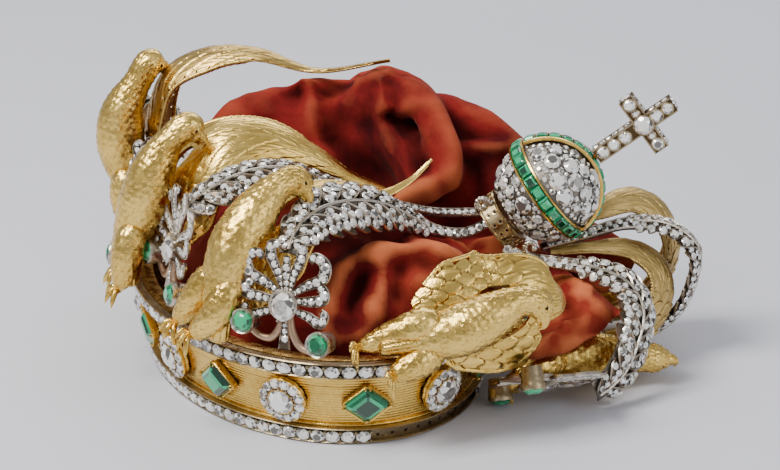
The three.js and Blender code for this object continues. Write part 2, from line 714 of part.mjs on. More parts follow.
// The cap's main skin: up from a rim inside the circlet, over a low dome and in to its top.
function capDome(inset) {
  const rings = [];
  for (let i = 0; i < CAP_STEPS_UP; i++) {
    const rise = i / (CAP_STEPS_UP - 0.35);
    const ring = [];
    for (let j = 0; j < CAP_STEPS_ROUND; j++) {
      const angle = (j / CAP_STEPS_ROUND) * 2 * Math.PI;
      const rim = ovalPoint(angle, -CAP_RIM_INSET - inset + FLARE * CAP_RIM_HEIGHT, CAP_RIM_HEIGHT);
      const reach = Math.cos((rise * Math.PI) / 2) ** 0.75;
      const height = Math.sin((rise * Math.PI) / 2);
      ring.push(
        new THREE.Vector3(
          THREE.MathUtils.lerp(CAP_TOP.x * height, rim.x, reach),
          THREE.MathUtils.lerp(CAP_TOP.y * height, rim.y, reach),
          CAP_RIM_HEIGHT + (CAP_TOP.z - inset - CAP_RIM_HEIGHT) * height,
        ),
      );
    }
    rings.push(ring);
  }
  return toSolid(skin(rings));
}

function capLobe([centre, half, turn], inset) {
  const ball = new THREE.SphereGeometry(1, 12, 7).rotateX(Math.PI / 2);
  ball.scale(half[0] - inset, half[1] - inset, half[2] - inset).rotateZ(turn);
  return toSolid(ball.translate(...centre));
}

function addCap() {
  const skinAt = (inset) => union([capDome(inset), ...CAP_LOBES.map((lobe) => capLobe(lobe, inset))]);
  const below = toSolid(new THREE.BoxGeometry(300, 300, 100).translate(0, 0, CAP_RIM_HEIGHT - 50));
  const spills = CAP_SPILLS.map((roll) => limb(roll, 8, 6));
  const outside = ovalRing(box(-WALL - 1, 40, -20, CIRCLET_HEIGHT + LAY));
  const domed = skinAt(0).subtract(skinAt(CAP_THICKNESS)).subtract(below).subtract(outside);
  place("velvet_cap", union([domed, ...spills]), velvet, { coarseness: 0.25 });
}

// ---------------------------------------------------------------- assembly
addCirclet();
addSettings();
addOrb();
addEagles();
addPalmettes();
addEagleArches();
addLeaves();
addCap();

const extent = new THREE.Box3().setFromObject(crown);
const middle = extent.getCenter(new THREE.Vector3());
crown.position.set(-middle.x, -middle.y, -extent.min.z);
const part = new THREE.Group();
part.add(crown);

export default part;
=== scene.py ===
"""A crushed imperial crown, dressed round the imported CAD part.

Shapes are worked out in millimetres about the middle of the circlet's foot, the layout frame that the
CAD source uses too, and are moved to the row frame by the circlet's own box when a piece is made.
"""

import math

import bmesh
import bpy
import numpy as np
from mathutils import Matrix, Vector
from mathutils.bvhtree import BVHTree


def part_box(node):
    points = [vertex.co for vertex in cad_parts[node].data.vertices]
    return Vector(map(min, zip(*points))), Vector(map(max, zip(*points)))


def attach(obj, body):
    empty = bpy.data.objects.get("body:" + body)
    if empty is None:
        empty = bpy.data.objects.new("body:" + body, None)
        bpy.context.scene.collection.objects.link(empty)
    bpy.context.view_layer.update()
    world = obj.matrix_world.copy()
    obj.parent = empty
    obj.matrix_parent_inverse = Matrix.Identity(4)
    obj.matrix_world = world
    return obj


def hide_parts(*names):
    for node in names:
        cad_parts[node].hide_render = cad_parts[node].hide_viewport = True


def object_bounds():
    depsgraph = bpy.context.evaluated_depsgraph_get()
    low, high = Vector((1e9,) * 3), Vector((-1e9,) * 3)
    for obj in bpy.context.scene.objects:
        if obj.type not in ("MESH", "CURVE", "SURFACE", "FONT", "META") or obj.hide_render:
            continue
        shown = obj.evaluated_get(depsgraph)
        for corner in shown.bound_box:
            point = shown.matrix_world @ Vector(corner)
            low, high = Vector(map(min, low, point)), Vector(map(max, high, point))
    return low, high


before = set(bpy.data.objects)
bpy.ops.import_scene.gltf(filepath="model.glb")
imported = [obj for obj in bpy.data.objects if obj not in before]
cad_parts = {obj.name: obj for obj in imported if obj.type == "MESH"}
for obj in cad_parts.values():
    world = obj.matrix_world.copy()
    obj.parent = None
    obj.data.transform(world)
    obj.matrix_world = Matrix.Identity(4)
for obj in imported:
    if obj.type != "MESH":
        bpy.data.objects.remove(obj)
cad_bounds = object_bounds()
MM = 0.001
band_low, band_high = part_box("circlet_band")
ORIGIN = np.array([(band_low[0] + band_high[0]) / 2, (band_low[1] + band_high[1]) / 2, band_low[2]])
rng = np.random.default_rng(11)


# ---------------------------------------------------------------- driving dimensions, in millimetres
OVAL_ACROSS, OVAL_ALONG = 51, 75
OVAL_TURN = math.radians(18.5)
FLARE = 0.22
WALL = 1.6
STATIONS = 16
FIRST_STATION = 7.75
SETTING_HEIGHT = 15
ROW_STONES, ROW_OFFSET = 86, 3  # a rail's stones, and the offset of the oval they are spaced on
RAIL_MIDDLES = {"lower": 2.8, "upper": 27.2}
LOST_STONES = (21, 55)  # the lower row has none between these, at the front
BLADE_THICKNESS = 1.2
ORB_CENTRE = np.array([79.0, -5, 62])
ORB_RADIUS = 17.3
HOOP_INNER = ORB_RADIUS + 0.5
HOOP_DEPTH = 1.5
HOOP_HALF_WIDTH = 2.7
ORB_TOP = HOOP_INNER + HOOP_DEPTH + 0.5
COLLAR_RADIUS, COLLAR_LENGTH = 9.6, 6.5
CROSS_LENGTH, CROSS_SPAN, CROSS_CENTRE, CROSS_BAR = 31.5, 21, 19.5, 5.4


# ---------------------------------------------------------------- vectors and curves
def unit(v):
    v = np.asarray(v, float)
    return v / np.maximum(np.linalg.norm(v, axis=-1, keepdims=True), 1e-9)


def off(v, axis):
    """v without its share along a unit axis, as a unit vector."""
    return unit(v - (v * axis).sum(-1, keepdims=True) * axis)


def catmull(points, t):
    """Points and unit tangents of the smooth curve through some points, at shares t of its stops."""
    points = np.asarray(points, float)
    p = np.vstack([2 * points[0] - points[1], points, 2 * points[-1] - points[-2]])
    last = len(points) - 1
    exact = np.clip(t, 0, 1) * last
    k = np.minimum(exact.astype(int), last - 1)
    w = (exact - k)[:, None]
    p0, p1, p2, p3 = p[k], p[k + 1], p[k + 2], p[k + 3]

    def knot(a, b):
        return np.maximum(np.linalg.norm(b - a, axis=1, keepdims=True), 1e-9) ** 0.5

    d0, d1, d2 = knot(p0, p1), knot(p1, p2), knot(p2, p3)
    m1 = ((p1 - p0) / d0 - (p2 - p0) / (d0 + d1) + (p2 - p1) / d1) * d1
    m2 = ((p2 - p1) / d1 - (p3 - p1) / (d1 + d2) + (p3 - p2) / d2) * d1
    c2 = -3 * p1 + 3 * p2 - 2 * m1 - m2
    c3 = 2 * p1 - 2 * p2 + m1 + m2
    return p1 + m1 * w + c2 * w**2 + c3 * w**3, unit(m1 + 2 * c2 * w + 3 * c3 * w**2)


def eased(values, t):
    """Numbers at the stops, smoothly joined."""
    exact = np.clip(t, 0, 1) * (len(values) - 1)
    k = np.minimum(exact.astype(int), len(values) - 2)
    w = exact - k
    v = np.concatenate([[values[0]], values, [values[-1]]]).astype(float)
    v0, v1, v2, v3 = v[k], v[k + 1], v[k + 2], v[k + 3]
    m1, m2 = (v2 - v0) / 2, (v3 - v1) / 2
    return v1 + m1 * w + (-3 * v1 + 3 * v2 - 2 * m1 - m2) * w**2 + (2 * v1 - 2 * v2 + m1 + m2) * w**3


def arc_length(at):
    return np.concatenate([[0], np.cumsum(np.linalg.norm(np.diff(at, axis=0), axis=1))])


def transported(along, first=None):
    """Two directions square to a curve that turn with it as little as they can."""
    side = np.zeros_like(along)
    start = first if first is not None else np.eye(3)[np.abs(along[0]).argmin()]
    side[0] = off(start, along[0])
    for i in range(1, len(along)):
        side[i] = off(side[i - 1], along[i])
    return side, np.cross(along, side)


def wobble(x, y, z=0.0):
    """A smooth, repeatable unevenness from -1 to 1."""
    a = np.sin(1.7 * x + 2.3 * np.sin(0.9 * y + 0.4 * z)) + np.sin(
        1.3 * y - 1.1 * x + 1.9 * np.sin(0.8 * x + z)
    )
    return (a + np.sin(2.9 * x + 2.1 * y + 1.3 * z)) / 3


# ---------------------------------------------------------------- meshes
class Shape:
    """Closed bodies gathered in layout millimetres, to be made into one object."""

    def __init__(self):
        self.points, self.faces, self.slots, self.relief, self.sparkle, self.flow = [], [], [], [], [], []
        self.count = 0

    def add(self, points, faces, slot=0, relief=1.0, sparkle=None, flow=None):
        points = np.asarray(points, float).reshape(-1, 3)
        if signed_volume(points, faces) < 0:
            faces = [f[::-1] for f in faces]
        self.faces += [[i + self.count for i in f] for f in faces]
        self.points.append(points)
        self.flow.append(points if flow is None else flow)
        self.slots += [slot] * len(faces) if np.isscalar(slot) else list(slot)
        self.relief.append(np.broadcast_to(relief, len(points)))
        self.sparkle.append(np.full(len(faces), 0.5) if sparkle is None else sparkle)
        self.count += len(points)


def signed_volume(points, faces):
    tri = np.array([(f[0], f[k], f[k + 1]) for f in faces for k in range(1, len(f) - 1)])
    a, b, c = (points[tri[:, i]] for i in range(3))
    middle = points.mean(0)
    return (np.cross(b - middle, c - middle) * (a - middle)).sum()


def quads(n, m, around=False, loop=False):
    """Faces of a grid of n rows of m points. around closes the rows and loop the columns."""
    i, j = np.meshgrid(range(n if loop else n - 1), range(m if around else m - 1), indexing="ij")
    i, j = i.ravel(), j.ravel()
    k, l = (i + 1) % n, (j + 1) % m
    return np.stack([i * m + j, i * m + l, k * m + l, k * m + j], 1).tolist()


def tube(shape, rings, relief=1.0, slot=0, loop=False):
    """A body through rings of points, with a middle point in each end."""
    n, m = rings.shape[:2]
    faces = quads(n, m, around=True, loop=loop)
    points = rings.reshape(-1, 3)
    relief = np.broadcast_to(relief, (n, m)).ravel()
    if not loop:
        points = np.vstack([points, rings[0].mean(0), rings[-1].mean(0)])
        relief = np.append(relief, [1, 1])
        for j in range(m):
            k = (j + 1) % m
            faces += [[k, j, n * m], [(n - 1) * m + j, (n - 1) * m + k, n * m + 1]]
    shape.add(points, faces, slot, relief)


def sheet(shape, top, bottom, relief=1.0, slots=(0, 0), loop=False, flow=None):
    """A body between two grids of points that are laid one over the other."""
    n, m = top.shape[:2]
    up = np.array(quads(n, m, loop=loop))
    down = up[:, ::-1] + n * m
    index = np.arange(n * m).reshape(n, m)
    if loop:
        rims = [index[:, -1], index[:, 0][::-1]]
    else:
        rims = [np.concatenate([index[:-1, 0], index[-1, :-1], index[:0:-1, -1], index[0, :0:-1]])]
    faces = up.tolist() + down.tolist()
    for rim in rims:
        nxt = np.roll(rim, -1)
        wall = np.stack([rim, nxt, nxt + n * m, rim + n * m], 1)
        if not loop:
            wall = wall[:, ::-1]
        faces += wall.tolist()
    relief = np.broadcast_to(relief, (n, m)).ravel()
    walls = len(faces) - len(up) * 2
    shape.add(
        np.vstack([top.reshape(-1, 3), bottom.reshape(-1, 3)]),
        faces,
        [slots[0]] * len(up) + [slots[1]] * len(down) + [slots[0]] * walls,
        np.concatenate([relief, np.full(n * m, 0.8)]),
        flow=None if flow is None else np.vstack([flow.reshape(-1, 3)] * 2),
    )


def limb(shape, stops, sides=12, steps=24, bumps=None, slot=0, first=None, flatten=None):
    """A tapering limb through [x, y, z, radius] stops. bumps(distance, angle, radius) raises its skin and
    says how far each point is from a groove, and flatten squeezes it across its first direction."""
    stops = np.asarray(stops, float)
    t = np.linspace(0, 1, steps + 1)
    at, along = catmull(stops[:, :3], t)
    radius = eased(stops[:, 3], t)[:, None]
    side, other = transported(along, first)
    angle = np.linspace(0, 2 * np.pi, sides, endpoint=False)[None]
    height, relief = bumps(arc_length(at)[:, None], angle, radius) if bumps else (0 * radius * angle, 1.0)
    spoke = side[:, None] * np.cos(angle)[..., None] + other[:, None] * np.sin(angle)[..., None]
    if flatten:
        spoke = spoke + (flatten - 1) * other[:, None] * np.sin(angle)[..., None]
    rings = at[:, None] + spoke * np.maximum(radius + height, 0.05)[..., None]
    tube(shape, rings, relief, slot)


def ball(shape, at, radius, stretch=(1, 1, 1), basis=np.eye(3), slot=0, rows=6, sides=10):
    lat = np.linspace(0, np.pi, rows + 2)[1:-1, None]
    lon = np.linspace(0, 2 * np.pi, sides, endpoint=False)[None]
    grid = np.stack([np.sin(lat) * np.cos(lon), np.sin(lat) * np.sin(lon), np.cos(lat) + 0 * lon], -1)
    poles = np.array([[0, 0, 1.0], [0, 0, -1.0]])
    points = np.vstack([grid.reshape(-1, 3), poles]) * radius * np.asarray(stretch)
    faces = quads(rows, sides, around=True)
    last = (rows - 1) * sides
    for j in range(sides):
        k = (j + 1) % sides
        faces += [[k, j, rows * sides], [last + j, last + k, rows * sides + 1]]
    shape.add(points @ basis + np.asarray(at), faces, slot)


def lathe(shape, profile, basis, at, sides=48, slot=0, relief=1.0, wave=None):
    """A body of revolution about the basis's third row through [radius, height] corners, closed on itself."""
    angle = np.linspace(0, 2 * np.pi, sides, endpoint=False)
    profile = np.asarray(profile, float)
    r, h = profile[None, :, 0] * np.ones((sides, 1)), profile[None, :, 1] * np.ones((sides, 1))
    if wave is not None:
        r, h = wave(r, h, angle[:, None])
    rings = np.stack([r * np.cos(angle)[:, None], r * np.sin(angle)[:, None], h], -1) @ basis + at
    tube(shape, rings, relief, slot, loop=True)


# ---------------------------------------------------------------- cut stones
def brilliant_template(fold):
    """A round brilliant of radius 1 with its girdle at 0: corners and faces."""
    table = [(0.56 * math.cos(a), 0.56 * math.sin(a), 0.4) for a in np.arange(fold) * 2 * np.pi / fold]
    middle = [
        (0.82 * math.cos(a), 0.82 * math.sin(a), 0.24) for a in (np.arange(fold) + 0.5) * 2 * np.pi / fold
    ]
    girdle = [(math.cos(a), math.sin(a), 0) for a in np.arange(2 * fold) * np.pi / fold]
    points = table + middle + girdle + [(0, 0, -0.5)]
    faces = [list(range(fold))]
    for k in range(fold):
        n, g = (k + 1) % fold, 2 * fold
        low, mid, high = g + 2 * k, g + 2 * k + 1, g + (2 * k + 2) % (2 * fold)
        faces += [[k, fold + k, n], [k, fold + (k - 1) % fold, low, fold + k]]
        faces += [[fold + k, low, mid], [fold + k, mid, high]]
        faces += [[mid, low, 4 * fold], [high, mid, 4 * fold]]
    return np.array(points), faces


def plain_template(fold):
    """A small old-cut stone of radius 1: table, a row of crown facets and a shallow back."""
    table = [(0.55 * math.cos(a), 0.55 * math.sin(a), 0.42) for a in np.arange(fold) * 2 * np.pi / fold]
    girdle = [(math.cos(a), math.sin(a), 0) for a in (np.arange(fold) + 0.5) * 2 * np.pi / fold]
    faces = [list(range(fold))]
    for k in range(fold):
        n = (k + 1) % fold
        faces += [[k, fold + k, n], [n, fold + k, fold + n], [fold + n, fold + k, 2 * fold]]
    return np.array(table + girdle + [(0, 0, -0.45)]), faces


BRILLIANT, SMALL_STONE = brilliant_template(8), plain_template(7)


def stone(shape, at, normal, along, radius, length=None, template=None):
    """Sets a round or oval stone, its table facing along normal."""
    points, faces = template or (BRILLIANT if radius > 1.5 else SMALL_STONE)
    basis = np.array([np.cross(along, normal), along, normal])
    size = np.array([radius, length or radius, radius * 0.9])
    turn = rng.uniform(0, 2 * np.pi)
    c, s = math.cos(turn), math.sin(turn)
    turned = points @ np.array([[c, s, 0], [-s, c, 0], [0, 0, 1]])
    shape.add(turned * size @ basis + at, faces, sparkle=rng.uniform(0, 1, len(faces)))


def step_stone(shape, outline, height, basis, at):
    """A step-cut stone on an outline of [x, y] corners, lying on the basis's first two rows."""
    outline = np.asarray(outline, float)
    steps = [(0.7, -0.35), (1, 0), (0.98, 0.16), (0.85, 0.55), (0.69, 0.84), (0.5, 1)]
    rings = np.array([[[x * s, y * s, h * height] for x, y in outline] for s, h in steps])
    n, m = rings.shape[:2]
    faces = quads(n, m, around=True)
    faces += [list(range(m))[::-1], list(range((n - 1) * m, n * m))]
    shape.add(rings.reshape(-1, 3) @ basis + at, faces, sparkle=rng.uniform(0, 1, len(faces)))


# ---------------------------------------------------------------- materials
def nodes_of(name, colour, roughness, metallic):
    material = bpy.data.materials.new(name)
    material.use_nodes = True
    tree = material.node_tree
    shader = tree.nodes["Principled BSDF"]
    shader.inputs["Base Color"].default_value = (*colour, 1)
    shader.inputs["Roughness"].default_value = roughness
    shader.inputs["Metallic"].default_value = metallic
    return material, tree, shader


def noise(tree, scale, detail=3.0, roughness=0.55, distortion=0.0, flow=False):
    """Noise in the object's own space, or drawn out along the piece by its flow attribute."""
    if flow:
        where = tree.nodes.new("ShaderNodeAttribute")
        where.attribute_name = "flow"
    else:
        where = tree.nodes.new("ShaderNodeTexCoord")
    texture = tree.nodes.new("ShaderNodeTexNoise")
    tree.links.new(where.outputs["Vector" if flow else "Object"], texture.inputs["Vector"])
    texture.inputs["Scale"].default_value = scale
    texture.inputs["Detail"].default_value = detail
    texture.inputs["Roughness"].default_value = roughness
    texture.inputs["Distortion"].default_value = distortion
    return texture.outputs["Fac"]


def ramp(tree, fac, *stops):
    """A colour ramp through (place, colour) stops."""
    node = tree.nodes.new("ShaderNodeValToRGB")
    tree.links.new(fac, node.inputs["Fac"])
    elements = node.color_ramp.elements
    while len(elements) < len(stops):
        elements.new(0.5)
    for element, (place, colour) in zip(elements, stops):
        element.position = place
        element.color = (*colour, 1) if not np.isscalar(colour) else (colour, colour, colour, 1)
    return node.outputs["Color"]


def mixed(tree, kind, fac, a, b):
    node = tree.nodes.new("ShaderNodeMix")
    node.data_type = "RGBA"
    node.blend_type = kind
    for value, key in ((fac, 0), (a, 6), (b, 7)):
        if hasattr(value, "links"):
            tree.links.new(value, node.inputs[key])
        elif np.isscalar(value):
            node.inputs[key].default_value = value
        else:
            node.inputs[key].default_value = (*value, 1)
    return node.outputs[2]


def attribute(tree, name):
    node = tree.nodes.new("ShaderNodeAttribute")
    node.attribute_name = name
    return node.outputs["Fac"]


def bumped(tree, shader, height, strength, distance):
    node = tree.nodes.new("ShaderNodeBump")
    node.inputs["Strength"].default_value = strength
    node.inputs["Distance"].default_value = distance
    tree.links.new(height, node.inputs["Height"])
    tree.links.new(node.outputs["Normal"], shader.inputs["Normal"])


def chased_metal(name, bright, worn, groove, roughness, grain=1400, strength=0.35):
    """Hand-worked metal: uneven colour and gloss, with painted shade in the grooves where its relief is low.
    """
    material, tree, shader = nodes_of(name, bright, roughness, 1)
    blotch = mixed(tree, "MIX", 0.4, noise(tree, 75, 4), noise(tree, 900, 3, flow=True))
    patches = ramp(tree, blotch, (0.38, worn), (0.58, bright))
    # painted shade: where the relief attribute is low, in grooves, seams and hollows, the colour is darkened
    # towards the groove colour
    depth = ramp(tree, attribute(tree, "relief"), (0.05, groove), (0.75, (1, 1, 1)))
    colour = mixed(tree, "MULTIPLY", 1.0, patches, depth)
    tree.links.new(colour, shader.inputs["Base Color"])
    gloss = ramp(tree, noise(tree, 420, 3, flow=True), (0.35, roughness - 0.1), (0.7, roughness + 0.16))
    tree.links.new(gloss, shader.inputs["Roughness"])
    bumped(tree, shader, noise(tree, grain, 4, 0.65, flow=True), strength, 0.0004)
    return material


def stone_material(name, dark, middle, light, metallic, roughness=0.06):
    """Each facet is given its own painted share of light: a painted glint or a painted dark reflection,
    chosen at random.
    """
    material, tree, shader = nodes_of(name, middle, roughness, metallic)
    inner = noise(tree, 900, 2, 0.6)
    painted_glint = mixed(tree, "OVERLAY", 0.55, attribute(tree, "sparkle"), inner)
    colour = ramp(tree, painted_glint, (0.16, dark), (0.42, middle), (0.78, light))
    tree.links.new(colour, shader.inputs["Base Color"])
    shader.inputs["Coat Weight"].default_value = 1.0
    shader.inputs["Coat Roughness"].default_value = 0.03
    return material


def velvet_material():
    material, tree, shader = nodes_of("velvet_wear_and_painted_light", (0.45, 0.07, 0.03), 0.95, 0)
    broad = noise(tree, 24, 5, 0.6, 0.4)
    body = ramp(
        tree, broad, (0.36, (0.07, 0.006, 0.007)), (0.5, (0.23, 0.016, 0.014)), (0.66, (0.34, 0.045, 0.022))
    )
    crest = attribute(tree, "relief")
    # the crests are lightened towards orange: partly real wear of the pile, partly painted highlight
    wear_and_highlight_fine = mixed(tree, "OVERLAY", 0.5, crest, noise(tree, 160, 5, 0.7))
    worn = ramp(tree, wear_and_highlight_fine, (0.62, 0.0), (1.0, 0.85))
    # the crests' rubbed colour, part wear and part painted highlight, is made stronger on the lower folds
    # than on the upper ones
    place = tree.nodes.new("ShaderNodeTexCoord")
    split = tree.nodes.new("ShaderNodeSeparateXYZ")
    tree.links.new(place.outputs["Object"], split.inputs[0])
    height = tree.nodes.new("ShaderNodeMapRange")
    tree.links.new(split.outputs["Z"], height.inputs["Value"])
    for key, value in (("From Min", 0.052), ("From Max", 0.07), ("To Min", 1.4), ("To Max", 0.4)):
        height.inputs[key].default_value = value
    worn = mixed(tree, "MULTIPLY", 1.0, worn, height.outputs[0])
    rubbed_and_lit = mixed(tree, "MIX", worn, body, (0.62, 0.16, 0.06))
    # painted shade: the hollows between the folds are darkened
    shade = ramp(tree, crest, (0.14, (0.16, 0.06, 0.07)), (0.54, (1, 1, 1)))
    tree.links.new(mixed(tree, "MULTIPLY", 1.0, rubbed_and_lit, shade), shader.inputs["Base Color"])
    shader.inputs["Sheen Weight"].default_value = 0.11
    shader.inputs["Sheen Roughness"].default_value = 0.3
    shader.inputs["Sheen Tint"].default_value = (1, 0.5, 0.36, 1)
    shader.inputs["Specular IOR Level"].default_value = 0.1
    bumped(tree, shader, noise(tree, 2600, 2, 0.7), 0.5, 0.0005)
    return material


METALS = [  # name, bright, worn and painted groove-shade colours, roughness, grain and its strength
    ("chased_gold", (0.92, 0.63, 0.17), (0.66, 0.42, 0.09), (0.2, 0.12, 0.05), 0.25, 1400, 0.3),
    ("plain_gold", (0.88, 0.6, 0.15), (0.68, 0.42, 0.09), (0.26, 0.15, 0.06), 0.26, 900, 0.12),
    ("collar_gold", (0.72, 0.58, 0.33), (0.55, 0.42, 0.22), (0.3, 0.2, 0.1), 0.3, 900, 0.1),
    ("pale_gold", (0.68, 0.48, 0.17), (0.42, 0.28, 0.09), (0.24, 0.15, 0.06), 0.36, 1500, 0.7),
    ("inner_gold", (0.55, 0.35, 0.14), (0.34, 0.19, 0.07), (0.4, 0.3, 0.2), 0.42, 500, 0.4),
    ("rubbed_gilding", (0.58, 0.38, 0.24), (0.36, 0.24, 0.17), (0.4, 0.3, 0.25), 0.38, 1500, 0.2),
    ("worn_silver", (0.66, 0.6, 0.51), (0.44, 0.38, 0.3), (0.2, 0.16, 0.13), 0.3, 1500, 0.25),
    ("shadowed_metal", (0.05, 0.035, 0.025), (0.03, 0.02, 0.015), (0.5, 0.5, 0.5), 0.6),
    ("shaded_gold", (0.7, 0.48, 0.15), (0.46, 0.3, 0.09), (0.2, 0.12, 0.05), 0.3, 1400, 0.4),
    ("painted_shade_silver", (0.28, 0.25, 0.21), (0.17, 0.15, 0.12), (0.5, 0.5, 0.5), 0.45),
    ("cross_metal", (0.5, 0.4, 0.24), (0.34, 0.26, 0.15), (0.16, 0.11, 0.07), 0.34, 1500, 0.2),
]
(
    GOLD, PLAIN_GOLD, COLLAR_GOLD, PALE_GOLD, INNER_GOLD, ROSE_GOLD, SILVER, DARK, SHADED_GOLD, SHADE_BACKING,
    CROSS_METAL
) = (chased_metal(*row) for row in METALS)
# painted reflections: the facets' dark, middle and light colours stand in for glints and dark reflections
DIAMOND = stone_material("old_cut_diamond", (0.14, 0.13, 0.12), (0.84, 0.81, 0.75), (1.0, 0.99, 0.94), 0.3)
EMERALD = stone_material("emerald", (0.0, 0.045, 0.018), (0.0, 0.2, 0.075), (0.02, 0.48, 0.2), 0.1)
VELVET = velvet_material()


def make(name, shape, materials, body="crown", flat=False, replaces=(), slot=None, crease=38):
    """Makes a gathered shape one object in the row frame that rides on a CAD body."""
    points = np.vstack(shape.points) * MM + ORIGIN
    mesh = bpy.data.meshes.new(name)
    mesh.from_pydata(points.tolist(), [], shape.faces)
    for material in materials:
        mesh.materials.append(material)
    mesh.polygons.foreach_set("material_index", shape.slots)
    mesh.polygons.foreach_set("use_smooth", [not flat] * len(mesh.polygons))
    mesh.attributes.new("relief", "FLOAT", "POINT").data.foreach_set("value", np.concatenate(shape.relief))
    mesh.attributes.new("sparkle", "FLOAT", "FACE").data.foreach_set("value", np.concatenate(shape.sparkle))
    flow = np.vstack(shape.flow) * MM
    mesh.attributes.new("flow", "FLOAT_VECTOR", "POINT").data.foreach_set("vector", flow.ravel())
    if not flat:
        mesh.set_sharp_from_angle(angle=math.radians(crease))
    piece = bpy.data.objects.new(name, mesh)
    bpy.context.scene.collection.objects.link(piece)
    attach(piece, body)
    if replaces:
        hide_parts(*replaces)


def make_diamonds(name, shape, **more):
    make(name, shape, [DIAMOND], flat=True, slot="diamond", **more)


def make_emeralds(name, shape):
    make(name, shape, [EMERALD], flat=True, slot="emerald")


# ---------------------------------------------------------------- the circlet
def oval_point(angle, offset, z):
    x, y = (OVAL_ACROSS + offset) * np.cos(angle), (OVAL_ALONG + offset) * np.sin(angle)
    c, s = math.cos(OVAL_TURN), math.sin(OVAL_TURN)
    return np.stack([x * c - y * s, x * s + y * c, z + 0 * x], -1)


def oval_angles(count, offset, start=0.0):
    """Angles of evenly spaced points round the oval, from a share of the way round."""
    fine = np.linspace(0, 2 * np.pi, 2001)
    length = arc_length(oval_point(fine, offset, 0.0 * fine))
    return np.interp((np.arange(count) / count + start) % 1 * length[-1], length, fine)


def face_frame(angle, z, lift=0.0):
    """A point on the circlet's outer face, and the aside, up and outward directions there."""
    c, s = math.cos(OVAL_TURN), math.sin(OVAL_TURN)
    x, y = OVAL_ALONG * math.cos(angle), OVAL_ACROSS * math.sin(angle)
    out = unit([x * c - y * s, x * s + y * c, 0])
    aside = np.cross([0, 0, 1.0], out)
    normal = unit(out - np.array([0, 0, FLARE]))
    at = oval_point(np.array(angle), FLARE * z, z) + normal * lift
    return at, np.array([aside, np.cross(normal, aside), normal])


def oval_ring(shape, profile, steps=420, slot=0, relief=1.0):
    """A ring round the oval whose section is [outward offset, height] corners."""
    profile = np.asarray(profile, float)
    angle = np.linspace(0, 2 * np.pi, steps, endpoint=False)[:, None]
    rings = oval_point(angle, profile[None, :, 0] + FLARE * profile[None, :, 1], profile[None, :, 1])
    tube(shape, rings, relief, slot, loop=True)


def make_circlet():
    wall = Shape()
    heights = np.linspace(6.6, 23.4, 110)
    ribs = 0.17 * np.abs(np.sin(np.pi * (heights - 6.6) / 0.98)) ** 0.6
    face = [[r, z] for r, z in zip(ribs, heights)]
    bead = [[0.9 * math.sin(a), 0.6 * (1 - math.cos(a))] for a in np.linspace(0, np.pi, 7)]
    low = [[b[0], 5.3 + b[1]] for b in bead]
    high = [[b[0], 23.5 + b[1]] for b in bead]
    profile = [[-WALL, 0], [0, 0], [0.3, 0.4], [0.1, 5]] + low + face + high
    profile += [[0.2, 25.2], [0.2, 30.2], [-WALL, 30.4], [-4.6, 30.1], [-4.6, 29.3], [-WALL, 29]]
    relief = np.ones(len(profile))
    start = 4 + len(bead)
    # painted shade: the rib valleys get low relief, so the metal is darkened there
    relief[start : start + len(face)] = 0.28 + 0.72 * ribs / ribs.max()
    # painted shade: the inner lip under the cap gets low relief and is darkened
    relief[-6:] = [0.7, 0.4, 0.3, 0.3, 0.3, 0.3]
    oval_ring(wall, profile, relief=relief)
    make("circlet_band", wall, [PLAIN_GOLD], replaces=["circlet_band"], slot="gold", crease=60)

    for which, middle in RAIL_MIDDLES.items():
        metal, stones = Shape(), Shape()
        half, lip = 2.75, 0.55
        low_lip, high_lip = middle - half, middle + half
        profile = [[0.4, low_lip], [2.9, low_lip], [3.3, low_lip + lip / 2], [2.9, low_lip + lip]]
        profile += [[1.5, low_lip + lip], [1.5, high_lip - lip], [2.9, high_lip - lip]]
        profile += [[3.3, high_lip - lip / 2], [2.9, high_lip], [0.4, high_lip]]
        relief = [1, 1, 1, 0.8, 0.4, 0.4, 0.8, 1, 1, 1]
        oval_ring(metal, profile, relief=relief)
        angles = oval_angles(ROW_STONES, ROW_OFFSET)
        between = oval_angles(ROW_STONES, ROW_OFFSET, 0.5 / ROW_STONES)
        for i, angle in enumerate(angles):
            at, basis = face_frame(angle, middle, 2.45)
            if which == "lower" and at[1] < 0 and LOST_STONES[0] < at[0] < LOST_STONES[1]:
                # a near-black plate of the shadowed metal in each empty socket is painted shadow
                ball(
                    metal, at - basis[2] * 0.95, 0.6, (1, 1, 0.3), basis[[1, 0, 2]], slot=1, rows=4,
                    sides=12
                )
                continue
            radius = 2.42 + 0.12 * math.sin(i * 2.1)
            stone(stones, at, basis[2], basis[1], radius, 2.3)
            for tip in (-1.55, 1.55):
                place, _ = face_frame(between[i], middle + tip, 2.4)
                ball(metal, place, 0.62, rows=3, sides=6)
        make(f"{which}_rail", metal, [CROSS_METAL, DARK], replaces=[f"{which}_rail"], slot="silver")
        make_diamonds(f"{which}_stones", stones, replaces=[f"{which}_stone_row"])


def station_angle(k):
    fine = np.linspace(0, 2 * np.pi, 4001)
    outline = np.stack([OVAL_ACROSS * np.cos(fine), OVAL_ALONG * np.sin(fine), 0 * fine], -1)
    length = arc_length(outline)
    return float(np.interp(((FIRST_STATION + k) / STATIONS) % 1 * length[-1], length, fine))


def spoke_of(basis, a):
    return math.cos(a) * basis[0] + math.sin(a) * basis[1]


